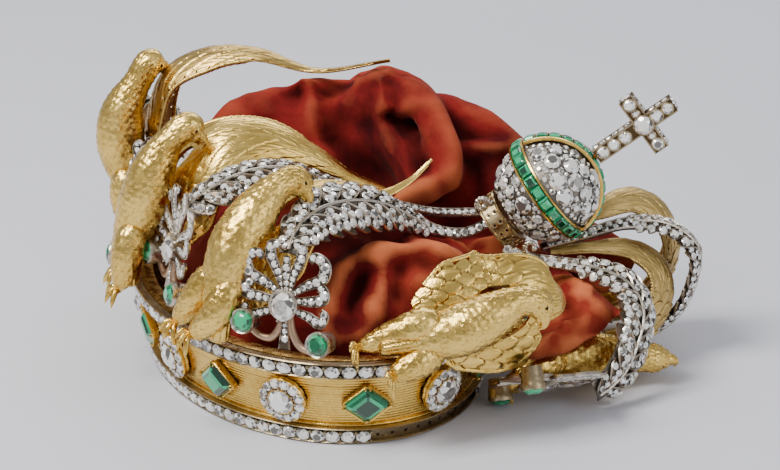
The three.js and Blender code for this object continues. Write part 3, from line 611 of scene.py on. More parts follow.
def make_cluster(number, angle):
    metal, stones = Shape(), Shape()
    at, basis = face_frame(angle, SETTING_HEIGHT, 0.3)
    profile = [
        [2, 0], [7.3, 0], [7.6, 0.5], [7.4, 1.1], [8.1, 2.2], [7.9, 2.6], [4.7, 2.9], [4.6, 3.6],
        [3.2, 3.6], [2, 2]
    ]

    def scalloped(r, h, a):
        return r + np.where(r > 7, 0.28 * np.abs(np.cos(6.5 * a)), 0), h

    lathe(
        metal, profile, basis, at, 78, relief=[0.3, 0.4, 1, 0.4, 1, 1, 0.2, 0.9, 0.6, 0.2], wave=scalloped
    )
    stone(stones, at + basis[2] * 3.7, basis[2], basis[1], 4.5, 4.35)
    for k in range(12):
        spoke = spoke_of(basis, (k + 0.5) * np.pi / 6)
        tilt = unit(basis[2] + 0.35 * spoke)
        round_it = np.cross(tilt, unit(np.cross(spoke, tilt)))
        stone(stones, at + spoke * 6.55 + basis[2] * 2.8, tilt, round_it, 1.74, template=BRILLIANT)
        spoke = spoke_of(basis, k * np.pi / 6)
        ball(metal, at + spoke * 7.5 + basis[2] * 3, 0.42, slot=1, rows=3, sides=6)
        ball(metal, at + spoke * 5 + basis[2] * 3.6, 0.4, slot=1, rows=3, sides=6)
    make(
        f"diamond_cluster_{number}_setting", metal, [PLAIN_GOLD, SILVER],
        replaces=[f"diamond_cluster_{number}"], slot="gold"
    )
    make_diamonds(f"diamond_cluster_{number}", stones)


def lozenge(wide, high, cut=0.16):
    """A lozenge's corners with its four points cut off."""
    w, h = wide, high
    return [
        (w, -h * cut), (w, h * cut), (w * cut, h), (-w * cut, h),
        (-w, h * cut), (-w, -h * cut), (-w * cut, -h), (w * cut, -h),
    ]


def make_band_emerald(number, angle):
    metal, stones = Shape(), Shape()
    at, basis = face_frame(angle, SETTING_HEIGHT, 0.3)
    outline = np.array(lozenge(8.2, 6.9, 0.1))
    steps = [
        (0.95, 0), (0.95, 1.4), (1.03, 2.2), (0.99, 2.6), (0.9, 2.3), (0.88, 0.6), (0.5, 0.5), (0.5, 0)
    ]
    rings = np.array([[[x * s, y * s, h] for s, h in steps] for x, y in outline])
    tube(metal, rings @ basis + at, [0.3, 0.6, 1, 1, 0.7, 0.2, 0.2, 0.2], loop=True)
    step_stone(stones, outline * 0.9, 2.6, basis, at + basis[2] * 1.8)
    for x, y in outline:
        claw = at + (x * basis[0] + y * basis[1]) * 0.95
        tip = claw + basis[2] * 3.1 - (x * basis[0] + y * basis[1]) * 0.1
        limb(metal, [[*(claw + basis[2] * 1.2), 0.42], [*(claw + basis[2] * 2.6), 0.4], [*tip, 0.22]], 6, 4)
    make(
        f"band_emerald_{number}_setting", metal, [PLAIN_GOLD], replaces=[f"band_emerald_{number}"],
        slot="gold"
    )
    make_emeralds(f"band_emerald_{number}", stones)


# ---------------------------------------------------------------- feathers and blades
def feathers(s, w, pitch, width, lift):
    """Overlapping rounded feathers at s along and w across, tips towards growing s: how high each
    point stands, and a share that falls to 0 in the grooves round them and just below each tip, as painted
    shade and painted shadow."""
    rise = s / pitch
    row = np.floor(rise)

    def place(r):
        b = w / width + 0.5 * (r % 2)
        return b - np.round(b)

    over = place(row - 1)
    tip = 0.62 * (1 - (2 * over) ** 2)
    covered = rise - (row - 1) < 1 + tip
    b = np.where(covered, over, place(row))
    a = np.where(covered, rise - row + 1, rise - row)
    seam = np.exp(-(((0.5 - np.abs(b)) / 0.08) ** 2))
    quill = 0.16 * np.exp(-((b / 0.07) ** 2))
    barbs = 0.07 * np.sin((a * 1.1 + np.abs(b) * 2.4) * 2 * np.pi * 2.5)
    beyond = rise - (row - 1) - 1 - tip
    # painted shadow just below each feather's tip, and painted shade along the seams
    tip_shadow = np.exp(-((beyond / 0.16) ** 2)) * ~covered
    seam_shade = seam * np.where(covered, 1, np.clip(beyond / 0.3, 0, 1))
    return lift * (a / 1.6 - 0.5 * seam + quill + barbs), 1 - np.maximum(tip_shadow, 0.9 * seam_shade)


class Blade:
    """A gutter-shaped strip through [x, y, z, half-width] stops, hollow towards the point inside."""

    def __init__(self, stops, inside, cup, steps):
        stops = np.asarray(stops, float)
        self.t = np.linspace(0, 1, steps + 1)
        self.at, self.along = catmull(stops[:, :3], self.t)
        self.out = off(self.at - np.asarray(inside, float), self.along)
        self.aside = np.cross(self.along, self.out)
        self.half = np.interp(self.t * (len(stops) - 1), range(len(stops)), stops[:, 3])
        self.length = arc_length(self.at)
        self.cup = cup

    def surface(self, side):
        """Points and outward directions for a grid of sides from -1 to 1, one row for each step."""
        half = self.half[:, None, None]
        side = side[..., None]
        points = self.at[:, None] + self.aside[:, None] * side * half
        points = points - self.out[:, None] * self.cup * half * side**2
        return points, unit(self.out[:, None] + 2 * self.cup * side * self.aside[:, None])

    def point(self, t, side):
        """One point, its outward direction and the direction along, anywhere on the strip."""
        index = np.clip(t, 0, 1) * (len(self.t) - 1)
        i = int(min(index, len(self.t) - 2))
        w = index - i
        at = self.at[i] * (1 - w) + self.at[i + 1] * w
        out = unit(self.out[i] * (1 - w) + self.out[i + 1] * w)
        aside = unit(self.aside[i] * (1 - w) + self.aside[i + 1] * w)
        half = self.half[i] * (1 - w) + self.half[i + 1] * w
        lean = unit(out + 2 * self.cup * side * aside)
        return at + aside * side * half - out * self.cup * half * side**2, lean


# Each spine runs tail, belly, breast, shoulders, neck, head, beak, tip. The wings' blade runs from the
# tail end up behind the body and on as the arch. Holes are (from, to, side, half-width) in the wings.
EAGLES = [
    {
        "spine": [
            [-61, -16, 34], [-60, -17, 48], [-55, -18, 63], [-52, -18, 73], [-47, -17, 82], [-40, -15, 87],
            [-37, -15, 84], [-35, -15, 80]
        ],
        "legs": [
            [[-60, -24, 50], [-62, -26, 40], [-64, -24, 33]], [[-60, -10, 50], [-64, -8, 40], [-66, -7, 33]]
        ],
        "wings": [
            [-52, -13, 42, 6], [-47, -13, 58, 15], [-41, -13, 72, 15], [-31, -11, 80, 12], [-16, -8, 81, 9],
            [-1, -4, 74, 5], [13, 1, 64, 2.2], [24, 6, 58, 1]
        ],
        "inside": [0, 45, 20],
        "holes": [(0.25, 0.35, -0.3, 0.13)],
    },
    {
        "spine": [
            [-29, -67, 34], [-28, -65, 47], [-23, -60, 62], [-17, -55, 71], [-10, -50, 78], [-4, -47, 79],
            [0, -47, 76], [1, -48, 71]
        ],
        "legs": [
            [[-32, -62, 50], [-38, -61, 42], [-43, -60, 35]],
            [[-26, -69, 47], [-32, -70, 38], [-38, -67, 34]]
        ],
        "wings": [
            [-20, -57, 40, 6], [-15, -52, 54, 13], [-8, -45, 66, 12], [1, -37, 71, 8], [12, -28, 70, 4.5],
            [23, -19, 65, 2], [32, -13, 67, 1.3], [40, -8, 73, 0.9]
        ],
        "inside": [10, 0, 20],
        "holes": [(0.245, 0.395, -0.05, 0.22)],
    },
    {
        "spine": [
            [24, -79, 35], [37, -77, 36], [50, -74, 39], [59, -72, 43], [67, -69, 46], [73, -67, 45],
            [75, -68, 41], [75, -69, 36]
        ],
        "legs": [
            [[36, -77, 42], [27, -78, 38], [15, -78, 34]], [[37, -79, 31], [31, -83, 29], [26, -85, 27]]
        ],
        "wings": [
            [34, -69, 39, 7], [46, -66, 40, 17], [60, -61, 40, 20], [72, -56, 44, 13], [80, -50, 42, 7],
            [79, -38, 41, 3], [70, -26, 41, 1.6], [58, -16, 42, 1.2]
        ],
        "inside": [50, 0, 18],
        "cup": 0.3,
        "holes": [(0.235, 0.365, -0.33, 0.07), (0.255, 0.38, 0.38, 0.1)],
    },
    {
        "spine": [
            [66, -35, 13], [80, -31, 11], [92, -28, 10.2], [100, -26, 9.6], [108, -25, 9], [115, -24, 8.4],
            [119, -23, 7.6], [122, -22, 6]
        ],
        "legs": [
            [[78, -37, 12], [70, -41, 8], [63, -43, 5]], [[76, -26, 16], [68, -27, 19], [63, -28, 22]]
        ],
        "wings": [
            [92, -19, 9, 6], [105, -15, 9, 7], [115, -12, 15, 8], [120, -9, 25, 8], [118, -7, 35, 6.5],
            [108, -5, 41, 4], [95, -7, 42, 2], [80, -9, 41, 1.2]
        ],
        "inside": [90, 8, 22],
    },
    {
        "spine": [
            [66, 20, 22], [77, 23, 18], [88, 26, 14], [97, 28, 11], [105, 30, 9], [112, 32, 8.4],
            [116, 33, 7.4], [119, 34, 6]
        ],
        "legs": [[[77, 18, 16], [71, 15, 14], [66, 14, 12]], [[77, 31, 18], [72, 33, 15], [67, 34, 12]]],
        "wings": [
            [98, 16, 6, 6], [112, 16, 10, 9], [122, 16, 22, 10], [125, 15, 36, 9], [119, 12, 50, 7.5],
            [108, 8, 55, 5.5], [95, 4, 51, 3], [82, 12, 45, 1.4]
        ],
        "inside": [92, 20, 24],
        "cup": 0.45,
    },
    {
        "spine": [
            [33, 68, 33], [37, 74, 42], [40, 78, 50], [40, 78, 57], [39, 76, 63], [38, 73, 66.5],
            [40, 70, 66], [43, 67, 63]
        ],
        "legs": [[[42, 70, 44], [42, 66, 38], [40, 63, 34]], [[31, 75, 44], [27, 74, 38], [25, 72, 34]]],
        "wings": [
            [28, 58, 38, 6], [29, 62, 49, 13], [31, 64, 59, 14], [36, 63, 66, 11], [45, 59, 67, 6],
            [56, 54, 62, 3], [66, 47, 55, 1.6], [74, 38, 49, 1]
        ],
        "inside": [20, 10, 30],
    },
    {
        "spine": [
            [-20, 82, 33], [-21, 86, 41], [-22, 89, 48], [-21, 90, 54], [-18, 89, 58.5], [-13, 86, 60],
            [-10, 84, 59], [-8, 83, 56.5]
        ],
        "legs": [
            [[-13, 84, 44], [-10, 81, 38], [-9, 79, 34]], [[-28, 83, 44], [-30, 79, 38], [-31, 77, 34]]
        ],
        "wings": [
            [-18, 74, 37, 6], [-17, 76, 46, 13], [-14, 75, 53, 12], [-8, 73, 58, 9], [0, 70, 60, 5],
            [8, 68, 59, 2.6], [14, 66, 56, 1.6], [19, 65, 52, 1]
        ],
        "inside": [0, 0, 20],
    },
    {
        "spine": [
            [-61, 43, 34], [-65, 41, 49], [-68, 39, 64], [-67, 39, 75], [-62, 40, 85], [-57, 42, 92],
            [-54, 44, 91], [-52, 46, 88]
        ],
        "legs": [
            [[-66, 34, 50], [-67, 33, 40], [-65, 32, 34]], [[-62, 48, 50], [-60, 50, 40], [-58, 50, 34]]
        ],
        "wings": [
            [-56, 42, 42, 6], [-58, 45, 57, 13], [-58, 46, 73, 13], [-52, 46, 88, 12], [-38, 43, 96, 10],
            [-20, 39, 97, 6], [0, 33, 92, 2.4], [26, 24, 98, 0.9]
        ],
        "inside": [-10, 40, 50],
        "cup": 0.5,
    },
]
WING_CUP = 0.35  # how hollow a blade is, where its eagle doesn't say
BODY_RADII = [2.0, 6.0, 8.2, 7.2, 4.7, 4.6, 2.9]
TORN_ARCHES = (2, 8)  # their ends have torn free and are drawn thin
TORN_FROM = 0.6  # the share of the arch's length where the thinning starts


def knuckles(s, angle, radius):
    ripple = np.sin(s * 6) + 0 * angle
    return 0.1 * ripple * np.clip(radius, 0, 1), 0.8 + 0.2 * ripple


def make_eagle(number, eagle):
    spine = np.array(eagle["spine"], float)
    metal = Shape()
    length = arc_length(spine)[6]

    def plumage(s, angle, radius):
        back = length * 1.05 - s
        around = angle * 18 / (2 * np.pi)
        lay, clear = feathers(back + 0.5 * wobble(back * 0.3, angle), around, 2.3, 1.0, 0.4)
        small = np.clip(radius / 4, 0.3, 1)
        return lay * small + 0.2 * wobble(back * 0.22, angle, number), 1 - (1 - clear) * 0.62 * small

    limb(metal, np.column_stack([spine[:7], BODY_RADII]), 90, 130, plumage)
    # the head's side direction is square to the neck and the beak
    neck, beak = unit(spine[5] - spine[4]), unit(spine[7] - spine[5])
    aside = unit(np.cross(neck, beak))
    crown_of_head = unit(np.cross(aside, beak))
    if crown_of_head @ neck < 0:
        crown_of_head = -crown_of_head
    head = spine[5]
    ball(
        metal, head + beak * 0.6, 4.5, (0.86, 1.1, 0.95), np.array([aside, beak, crown_of_head]), rows=12,
        sides=20
    )
    root = head + beak * 3.4 + crown_of_head * 0.4
    limb(
        metal,
        [
            [*root, 2.5], [*(root + beak * 2.2 + crown_of_head * 0.5), 2.0],
            [*(root + beak * 4.2 - crown_of_head * 0.3), 1.3],
            [*(root + beak * 4.9 - crown_of_head * 2.4), 0.3]
        ], 14, 16
    )
    limb(
        metal,
        [
            [*(root - crown_of_head * 1.4), 1.5], [*(root + beak * 2 - crown_of_head * 1.4), 1.1],
            [*(root + beak * 3.4 - crown_of_head * 1.7), 0.35]
        ], 10, 8
    )
    for side in (-1, 1):
        eye = head + aside * side * 3.55 + beak * 1.7 + crown_of_head * 1.0
        # each eye is a ball of the near-black shadowed metal, painted shade
        ball(metal, eye, 0.85, slot=1, rows=5, sides=10)
        brow = eye + crown_of_head * 0.75
        limb(
            metal,
            [
                [*(brow - beak * 1.7), 0.3], [*(brow + aside * side * 0.25), 0.6],
                [*(brow + beak * 1.8 - crown_of_head * 0.5), 0.35]
            ], 8, 8
        )

    def down_feathers(s, angle, radius):
        lay, clear = feathers(s, angle * 12 / (2 * np.pi), 2.6, 1.0, 0.5)
        small = np.clip(radius / 3.2, 0, 1)
        return lay * small, 1 - (1 - clear) * 0.75 * small

    def tail_feathers(s, angle, radius):
        rows = np.abs(np.sin(angle * 4.5 + 0.12 * s))
        return 0.55 * rows**0.6 - 0.3 + 0.06 * np.sin(s * 5 + 3 * rows), np.clip(rows * 2.2, 0.15, 1)

    tail = np.array(
        [spine[1] * 0.6 + spine[2] * 0.4, spine[1], spine[1] * 0.55 + spine[0] * 0.45, spine[0], spine[0]]
    )
    tail[3:] += np.outer([0.6, 2.2], unit(spine[0] - spine[1]))
    flank = unit(np.cross(spine[1] - spine[0], spine[3] - spine[1] + 1e-3))
    limb(
        metal, np.column_stack([tail, [2.4, 5.0, 5.8, 4.8, 2.6]]), 60, 60, tail_feathers, first=flank,
        flatten=0.6
    )
    for leg in eagle["legs"]:
        leg = np.array(leg, float)
        down = unit(leg[2] - leg[1])
        radial = unit(leg[2] * [1, 1, 0])
        thigh = [
            leg[0] * 0.5 + spine[2] * 0.5, leg[0] * 0.85 + spine[2] * 0.15, leg[0] * 0.45 + leg[1] * 0.55
        ]
        thigh += [leg[1] * 0.4 + leg[2] * 0.6, leg[2]]
        limb(metal, np.column_stack([thigh, [2.0, 4.8, 4.9, 2.9, 1.1]]), 54, 60, down_feathers)
        spread = unit(np.cross(down, radial))
        for k in (-1, 0, 1):
            toe = unit(radial * 0.8 + spread * 0.75 * k + down * 0.25)
            reach = np.array([leg[2], leg[2] + toe * 2.4, leg[2] + toe * 4.4, leg[2] + toe * 5.2])
            reach[:, 2] = np.maximum(reach[:, 2] + [0, 0.7, -1.2, -2.9], [1.2, 1.1, 0.9, 0.4])
            limb(metal, np.column_stack([reach, [1.1, 1.05, 0.8, 0.2]]), 8, 18, knuckles)
    make(f"eagle_{number}", metal, [GOLD, DARK], replaces=[f"eagle_{number}"], slot="gold", crease=50)


def make_wings(number, eagle):
    steps = 260
    blade = Blade(eagle["wings"], eagle["inside"], eagle.get("cup", WING_CUP), steps)
    metal = Shape()
    holes = sorted(eagle.get("holes", []), key=lambda hole: hole[2])
    lows, highs = [np.full(steps + 1, -1.0)], []
    for start, end, middle, half in holes:
        centre, reach = (start + end) / 2, (end - start) / 2
        gap = half * np.sqrt(np.clip(1 - ((blade.t - centre) / reach) ** 2, 0, None)) - 0.004
        highs.append(middle - gap)
        lows.append(middle + gap)
    highs.append(np.full(steps + 1, 1.0))
    s = blade.length[:, None]
    wide = blade.half[:, None]
    shoulder = blade.half.argmax()
    coverts_end = blade.length[shoulder] + 14
    free = 0.65 if number in TORN_ARCHES else 0
    for low, high in zip(lows, highs):
        columns = max(9, int(72 * np.max(high - low) / 2))
        share = np.linspace(0, 1, columns)[None]
        side = low[:, None] * (1 - share) + high[:, None] * share
        # the flight feathers' tips scallop the edges
        lobe = np.abs(np.sin(np.pi * s / 5.2)) ** 0.7
        side = side * (1 - 0.14 * (1 - lobe) * np.abs(side) ** 6 * (wide > 3.5))
        side = side * (1 - free * np.clip((blade.t[:, None] - TORN_FROM) / (1 - TORN_FROM), 0, 1))
        points, out = blade.surface(side)
        w = side * wide
        scales, clear = feathers(s + 1.2 * wobble(s * 0.13, w * 0.15, number), w, 4.6, 4.4, 0.85)
        flight_at = (np.abs(w) + 0.42 * s) / 3.1
        f = flight_at - np.floor(flight_at)
        streak = np.abs(w) * 5.6 + 0.5 * s + 2.2 * wobble(w * 0.5, s * 0.09, number)
        fine = 0.045 * np.sin(streak) + 0.035 * np.sin(streak * 1.9 + s)
        groove = np.exp(-((np.minimum(f, 1 - f) / 0.09) ** 2))
        flight = 0.22 * f - 0.1 * np.exp(-((f / 0.12) ** 2)) + fine
        mix = 1 / (1 + np.exp(-(s - coverts_end) / 2.5))
        taper = np.clip(wide / 7, 0.15, 1)
        height = (scales * (1 - mix) + flight * mix) * taper
        depth = BLADE_THICKNESS * (1 - 0.5 * np.abs(side) ** 4)
        # painted shade: relief is lowered in the scale grooves and along the flight-feather grooves, so the
        # metal is darkened there
        relief = 1 - ((1 - clear) * (1 - mix) + 0.3 * groove * mix) * np.clip(taper * 1.4, 0.3, 1)
        top = points + out * (depth / 2 + height)[..., None]
        bottom = points - out * (depth / 2 - 0.3 * height)[..., None]
        flow = np.stack([w + 60 * number, s * 0.1 + 0.3 * np.abs(w), 0 * w], -1)
        sheet(metal, top, bottom, relief, (0, 1), flow=flow)
    for edge in (-1, 1):
        rows = np.linspace(0.06, 0.97, 40)
        rim = []
        for t in rows:
            out_to = edge * 0.985 * (1 - free * np.clip((t - TORN_FROM) / (1 - TORN_FROM), 0, 1))
            rim.append([*blade.point(t, out_to)[0], 0.85 if t < 0.7 else 0.5 - free * 0.3])
        limb(metal, rim, 8, 160, knuckles)
    outer = {1: GOLD, 2: GOLD, 3: GOLD, 8: SHADED_GOLD}.get(number, PALE_GOLD)
    make(
        f"eagle_arch_{number}", metal, [outer, INNER_GOLD], replaces=[f"eagle_arch_{number}"], slot="gold",
        crease=55
    )


# ---------------------------------------------------------------- diamond-set petals
def pod(metal, stones, spine, normals, widths, slot=0, first=0.8, rim=0.6):
    """A boat-shaped setting along a line of points, holding a row of stones that fit its width."""
    spine, normals, widths = np.asarray(spine), np.asarray(normals), np.asarray(widths)
    along = unit(np.gradient(spine, axis=0))
    normals = off(normals, along)
    aside = np.cross(along, normals)
    across = np.array([-1, -0.88, -0.74, 0, 0.74, 0.88, 1])
    lift = np.array([0, rim, 0.02, -0.12, 0.02, rim, 0])
    # painted shade: the channel floor between the stones gets low relief and is darkened
    relief = np.array([0.5, 1, 0.1, 0, 0.1, 1, 0.5])
    grid = spine[:, None] + aside[:, None] * (across * widths[:, None])[..., None]
    top = grid + normals[:, None] * (lift * np.clip(widths, 0.3, 1)[:, None])[..., None]
    bottom = grid * 0.18 + spine[:, None] * 0.82 - normals[:, None] * 0.75
    bottom = bottom + aside[:, None] * (across * widths[:, None] * 0.6)[..., None]
    sheet(metal, top, bottom, relief, (slot, slot))
    length = arc_length(spine)
    place = first
    turn = 1
    while place < length[-1] - 0.5:
        width = float(np.interp(place, length, widths))
        double = width > 2.3
        radius = width * (0.52 if double else 0.8)
        if radius < 0.42:
            place += 0.5
            continue
        step = radius * (0.64 if double else 0.95)
        place += step
        if place > length[-1] - radius * 0.6:
            break
        at = np.array([np.interp(place, length, spine[:, k]) for k in range(3)])
        n = unit([np.interp(place, length, normals[:, k]) for k in range(3)])
        a = off(np.array([np.interp(place, length, along[:, k]) for k in range(3)]), n)
        if double:
            at = at + np.cross(a, n) * turn * width * 0.36
            turn = -turn
        stone(stones, at + n * 0.18, n, a, radius)
        place += step + 0.1


# A palmette's own outline, x across and y up from its foot.
PETAL_SPINES = [
    [[1.0, 19, 0.7], [2.6, 25, 1.3], [5.4, 31, 1.6], [5.0, 34.5, 1.4], [2.6, 34.4, 1.0]],
    [[1.5, 18.5, 0.8], [7, 22, 1.4], [13, 25, 1.8], [13.6, 29.5, 1.7], [10, 31.5, 1.3], [8.2, 29.6, 0.9]],
    [[1.5, 16.8, 0.8], [8, 17.2, 1.4], [13.6, 18.6, 1.7], [13.4, 21.6, 1.3], [11.2, 21.6, 0.9]],
    [[1.5, 14, 0.8], [8, 12.6, 1.3], [12.6, 10.8, 1.6], [14.4, 13.2, 1.2], [12.8, 14.6, 0.8]],
]
COLLETS = ((-13.3, 9.4), (13.3, 4.4))
COLLET_RADIUS = 4.3
PEAR_Y = 15
DULL_PALMETTE = 3  # its collets are of duller metal

PALMETTES = [
    {
        "foot": [-46.5, -33.5, 35.5],
        "up": [0.18, 0.05, 1],
        "out": [-0.92, -0.37, 0.12],
        "leaf": [
            [-41, -37, 65, 4], [-36, -36, 69, 6], [-28, -32, 73, 7], [-18, -26, 75, 7],
            [-7, -20, 73.5, 5.5], [5, -15, 67.5, 3], [22, -11, 60, 1.6], [40, -9, 55, 1.4],
            [56, -7, 54, 1.4]
        ],
        "inside": [0, 0, 30],
    },
    {
        "foot": [-7, -77, 32],
        "up": [0.04, 0.22, 1],
        "out": [-0.42, -0.9, 0.2],
        "leaf": [
            [-6, -66, 62, 4], [-3, -58, 67, 7.5], [4, -49, 70, 9], [14, -39, 69, 8.5], [24, -31, 65, 6.5],
            [33, -24, 58, 3.2], [41, -19, 52, 2], [51, -13, 49, 1.6], [60, -9, 52, 1.5]
        ],
        "inside": [10, 0, 20],
    },
    {
        "foot": [60, -56, 13.4],
        "up": [0.97, 0.2, 0],
        "out": [0, -0.5, -0.86],
        "leaf": [
            [94, -52, 7, 5], [102, -46, 12, 7], [107, -39, 20, 7], [109, -33, 29, 6], [105, -28, 36, 4.5],
            [96, -25, 40, 3], [85, -22, 41, 2.2], [73, -19, 42, 1.8], [64, -15, 44, 1.5]
        ],
        "inside": [85, -5, 22],
    },
    {
        "foot": [68, -6, 20],
        "up": [1, 0.1, -0.3],
        "out": [0.3, -0.35, 0.9],
        "leaf": [
            [104, -3, 8, 4], [115, 1, 7.5, 5.5], [125, 2, 15, 6], [130, 2, 27, 6], [130, 1, 38, 5],
            [121, 1, 46, 3.4], [106, -1, 48, 2.4], [90, -3, 44, 1.8], [77, -8, 42, 1.5]
        ],
        "inside": [95, 10, 22],
    },
    {
        "foot": [51, 45, 32],
        "up": [0.85, 0.5, 0.25],
        "out": [-0.2, -0.15, 1],
        "leaf": [
            [79, 61, 43, 4], [85, 62, 48, 5.5], [90, 59, 54, 6], [94, 53, 57, 5.5], [95, 45, 57, 4.5],
            [93, 38, 53, 3], [88, 32, 48, 2], [83, 28, 44, 1.6], [78, 26, 41, 1.4]
        ],
        "inside": [80, 40, 35],
    },
    {
        "foot": [9, 80, 31],
        "up": [0, 0.04, 1],
        "out": [0.15, 0.98, 0],
        "leaf": [
            [9, 84, 65, 4], [9, 86, 67.2, 6], [8, 90, 68, 6.5], [7, 95, 66.5, 6], [6, 99, 63, 5],
            [5, 101, 58, 3.4], [4, 101, 53, 2.2], [3, 99, 48, 1.6], [2, 96, 43, 1.2]
        ],
        "inside": [5, 85, 55],
    },
    {
        "foot": [-47, 70, 31],
        "up": [-0.6, 0.65, 0.6],
        "out": [-0.5, 0.5, -1],
        "leaf": [
            [-67, 91, 52, 3], [-66, 94, 55, 5], [-63, 97, 58, 6], [-58, 97, 59, 5.5], [-52, 92, 58, 4.4],
            [-47, 85, 55, 3], [-43, 77, 51, 2], [-40, 70, 47, 1.6], [-37, 64, 43, 1.2]
        ],
        "inside": [-50, 80, 50],
    },
    {
        "foot": [-64, 16, 31],
        "up": [0.12, 0, 1],
        "out": [-0.99, 0.05, 0.1],
        "leaf": [
            [-60, 17, 66, 3], [-58, 18, 68.5, 4.5], [-55, 20, 68.5, 5], [-52, 23, 66, 4.6],
            [-51, 26, 62, 3.8], [-50, 28, 57, 3], [-50, 30, 52, 2], [-50, 32, 47, 1.5]
        ],
        "inside": [-58, 26, 54],
    },
]


def make_palmette(number, palmette):
    stem = unit(palmette["up"])
    face = off(np.array(palmette["out"], float), stem)
    basis = np.array([np.cross(stem, face), stem, face])
    foot = np.array(palmette["foot"], float)

    def to_layout(x, y, z=0.0):
        return np.array([x, y, z]) @ basis + foot

    metal, stones, greens = Shape(), Shape(), Shape()
    t = np.linspace(0, 1, 30)
    for side in (-1, 1):
        for lift, spine in enumerate(PETAL_SPINES):
            spine = np.array([[side * x, y, r] for x, y, r in spine])
            line, _ = catmull(np.column_stack([spine[:, :2], 0 * spine[:, 0]]), t)
            line[:, 2] = 0.5 + 1.2 * np.sin(t * 2.4) + 0.15 * lift
            pod(metal, stones, line @ basis + foot, np.tile(face, (30, 1)), eased(spine[:, 2], t) * 1.18)
        # the lyre-shaped foot, and a strap to each emerald
        strap = [[1.4, 12, 1.1], [2.4, 6.5, 1.3], [5.2, 2.4, 1.3], [9, 1.2, 1.1], [12, 1.8, 1.1]]
        raise_by = (COLLETS[side > 0][1] - COLLETS[1][1]) / COLLETS[1][0]
        limb(metal, [[*to_layout(side * x, y + raise_by * x, 0.2), r] for x, y, r in strap], 10, 24, slot=1)
    tongue = np.array([to_layout(0, y, 0.9) for y in np.linspace(10.5, 1.2, 16)])
    pod(metal, stones, tongue, np.tile(face, (16, 1)), np.linspace(1.0, 2.2, 16))
    bud = np.array([to_layout(0, y, 1.2) for y in np.linspace(19, 31, 20)])
    pod(metal, stones, bud, np.tile(face, (20, 1)), 0.5 + 1.2 * np.sin(np.linspace(0.2, 2.9, 20)))
    for x, y in COLLETS:
        cup = [
            [2.6, -2.2], [COLLET_RADIUS - 0.9, -2.2], [COLLET_RADIUS - 0.3, 3.4], [COLLET_RADIUS, 4.4],
            [COLLET_RADIUS - 0.3, 5.3]
        ]
        cup += [[COLLET_RADIUS - 1.1, 4.9], [COLLET_RADIUS - 1.4, 3.2], [2.2, 2.9]]

        def claws(r, h, a):
            return r, h + np.where(h > 4.6, 0.28 * np.abs(np.cos(4 * a)), 0)

        lathe(
            metal, cup, basis, to_layout(x, y), 40, slot=2, relief=[0.5, 0.6, 0.9, 1, 1, 0.5, 0.2, 0.1],
            wave=claws
        )
        outline = [(3.55 * math.cos(a), 3.7 * math.sin(a)) for a in (np.arange(10) + 0.5) * np.pi / 5]
        step_stone(greens, outline, 2.2, basis, to_layout(x, y, 4.4))
    collet = [[2.2, -0.6], [4.2, -0.6], [4.8, 2.2], [5.0, 3.2], [4.2, 3.4], [3.8, 2.4], [2.2, 2.2]]

    def pear_shaped(r, h, a):
        return r * (1 + 0.12 * np.sin(a)), h

    lathe(
        metal, collet, basis, to_layout(0, PEAR_Y), 40, relief=[0.4, 0.6, 1, 1, 0.9, 0.3, 0.1],
        wave=pear_shaped
    )
    stone(stones, to_layout(0, PEAR_Y, 3.1), face, stem, 4.1, 4.7)
    for k in range(8):
        a = (k + 0.5) * np.pi / 4
        ball(metal, to_layout(4.25 * math.cos(a), PEAR_Y + 4.9 * math.sin(a), 3.5), 0.45, rows=3, sides=6)
    make(
        f"palmette_{number}", metal,
        [SILVER, ROSE_GOLD, CROSS_METAL if number == DULL_PALMETTE else SILVER],
        replaces=[f"palmette_{number}"], slot="silver"
    )
    make_diamonds(f"palmette_{number}_diamonds", stones)
    make_emeralds(f"palmette_{number}_emeralds", greens)


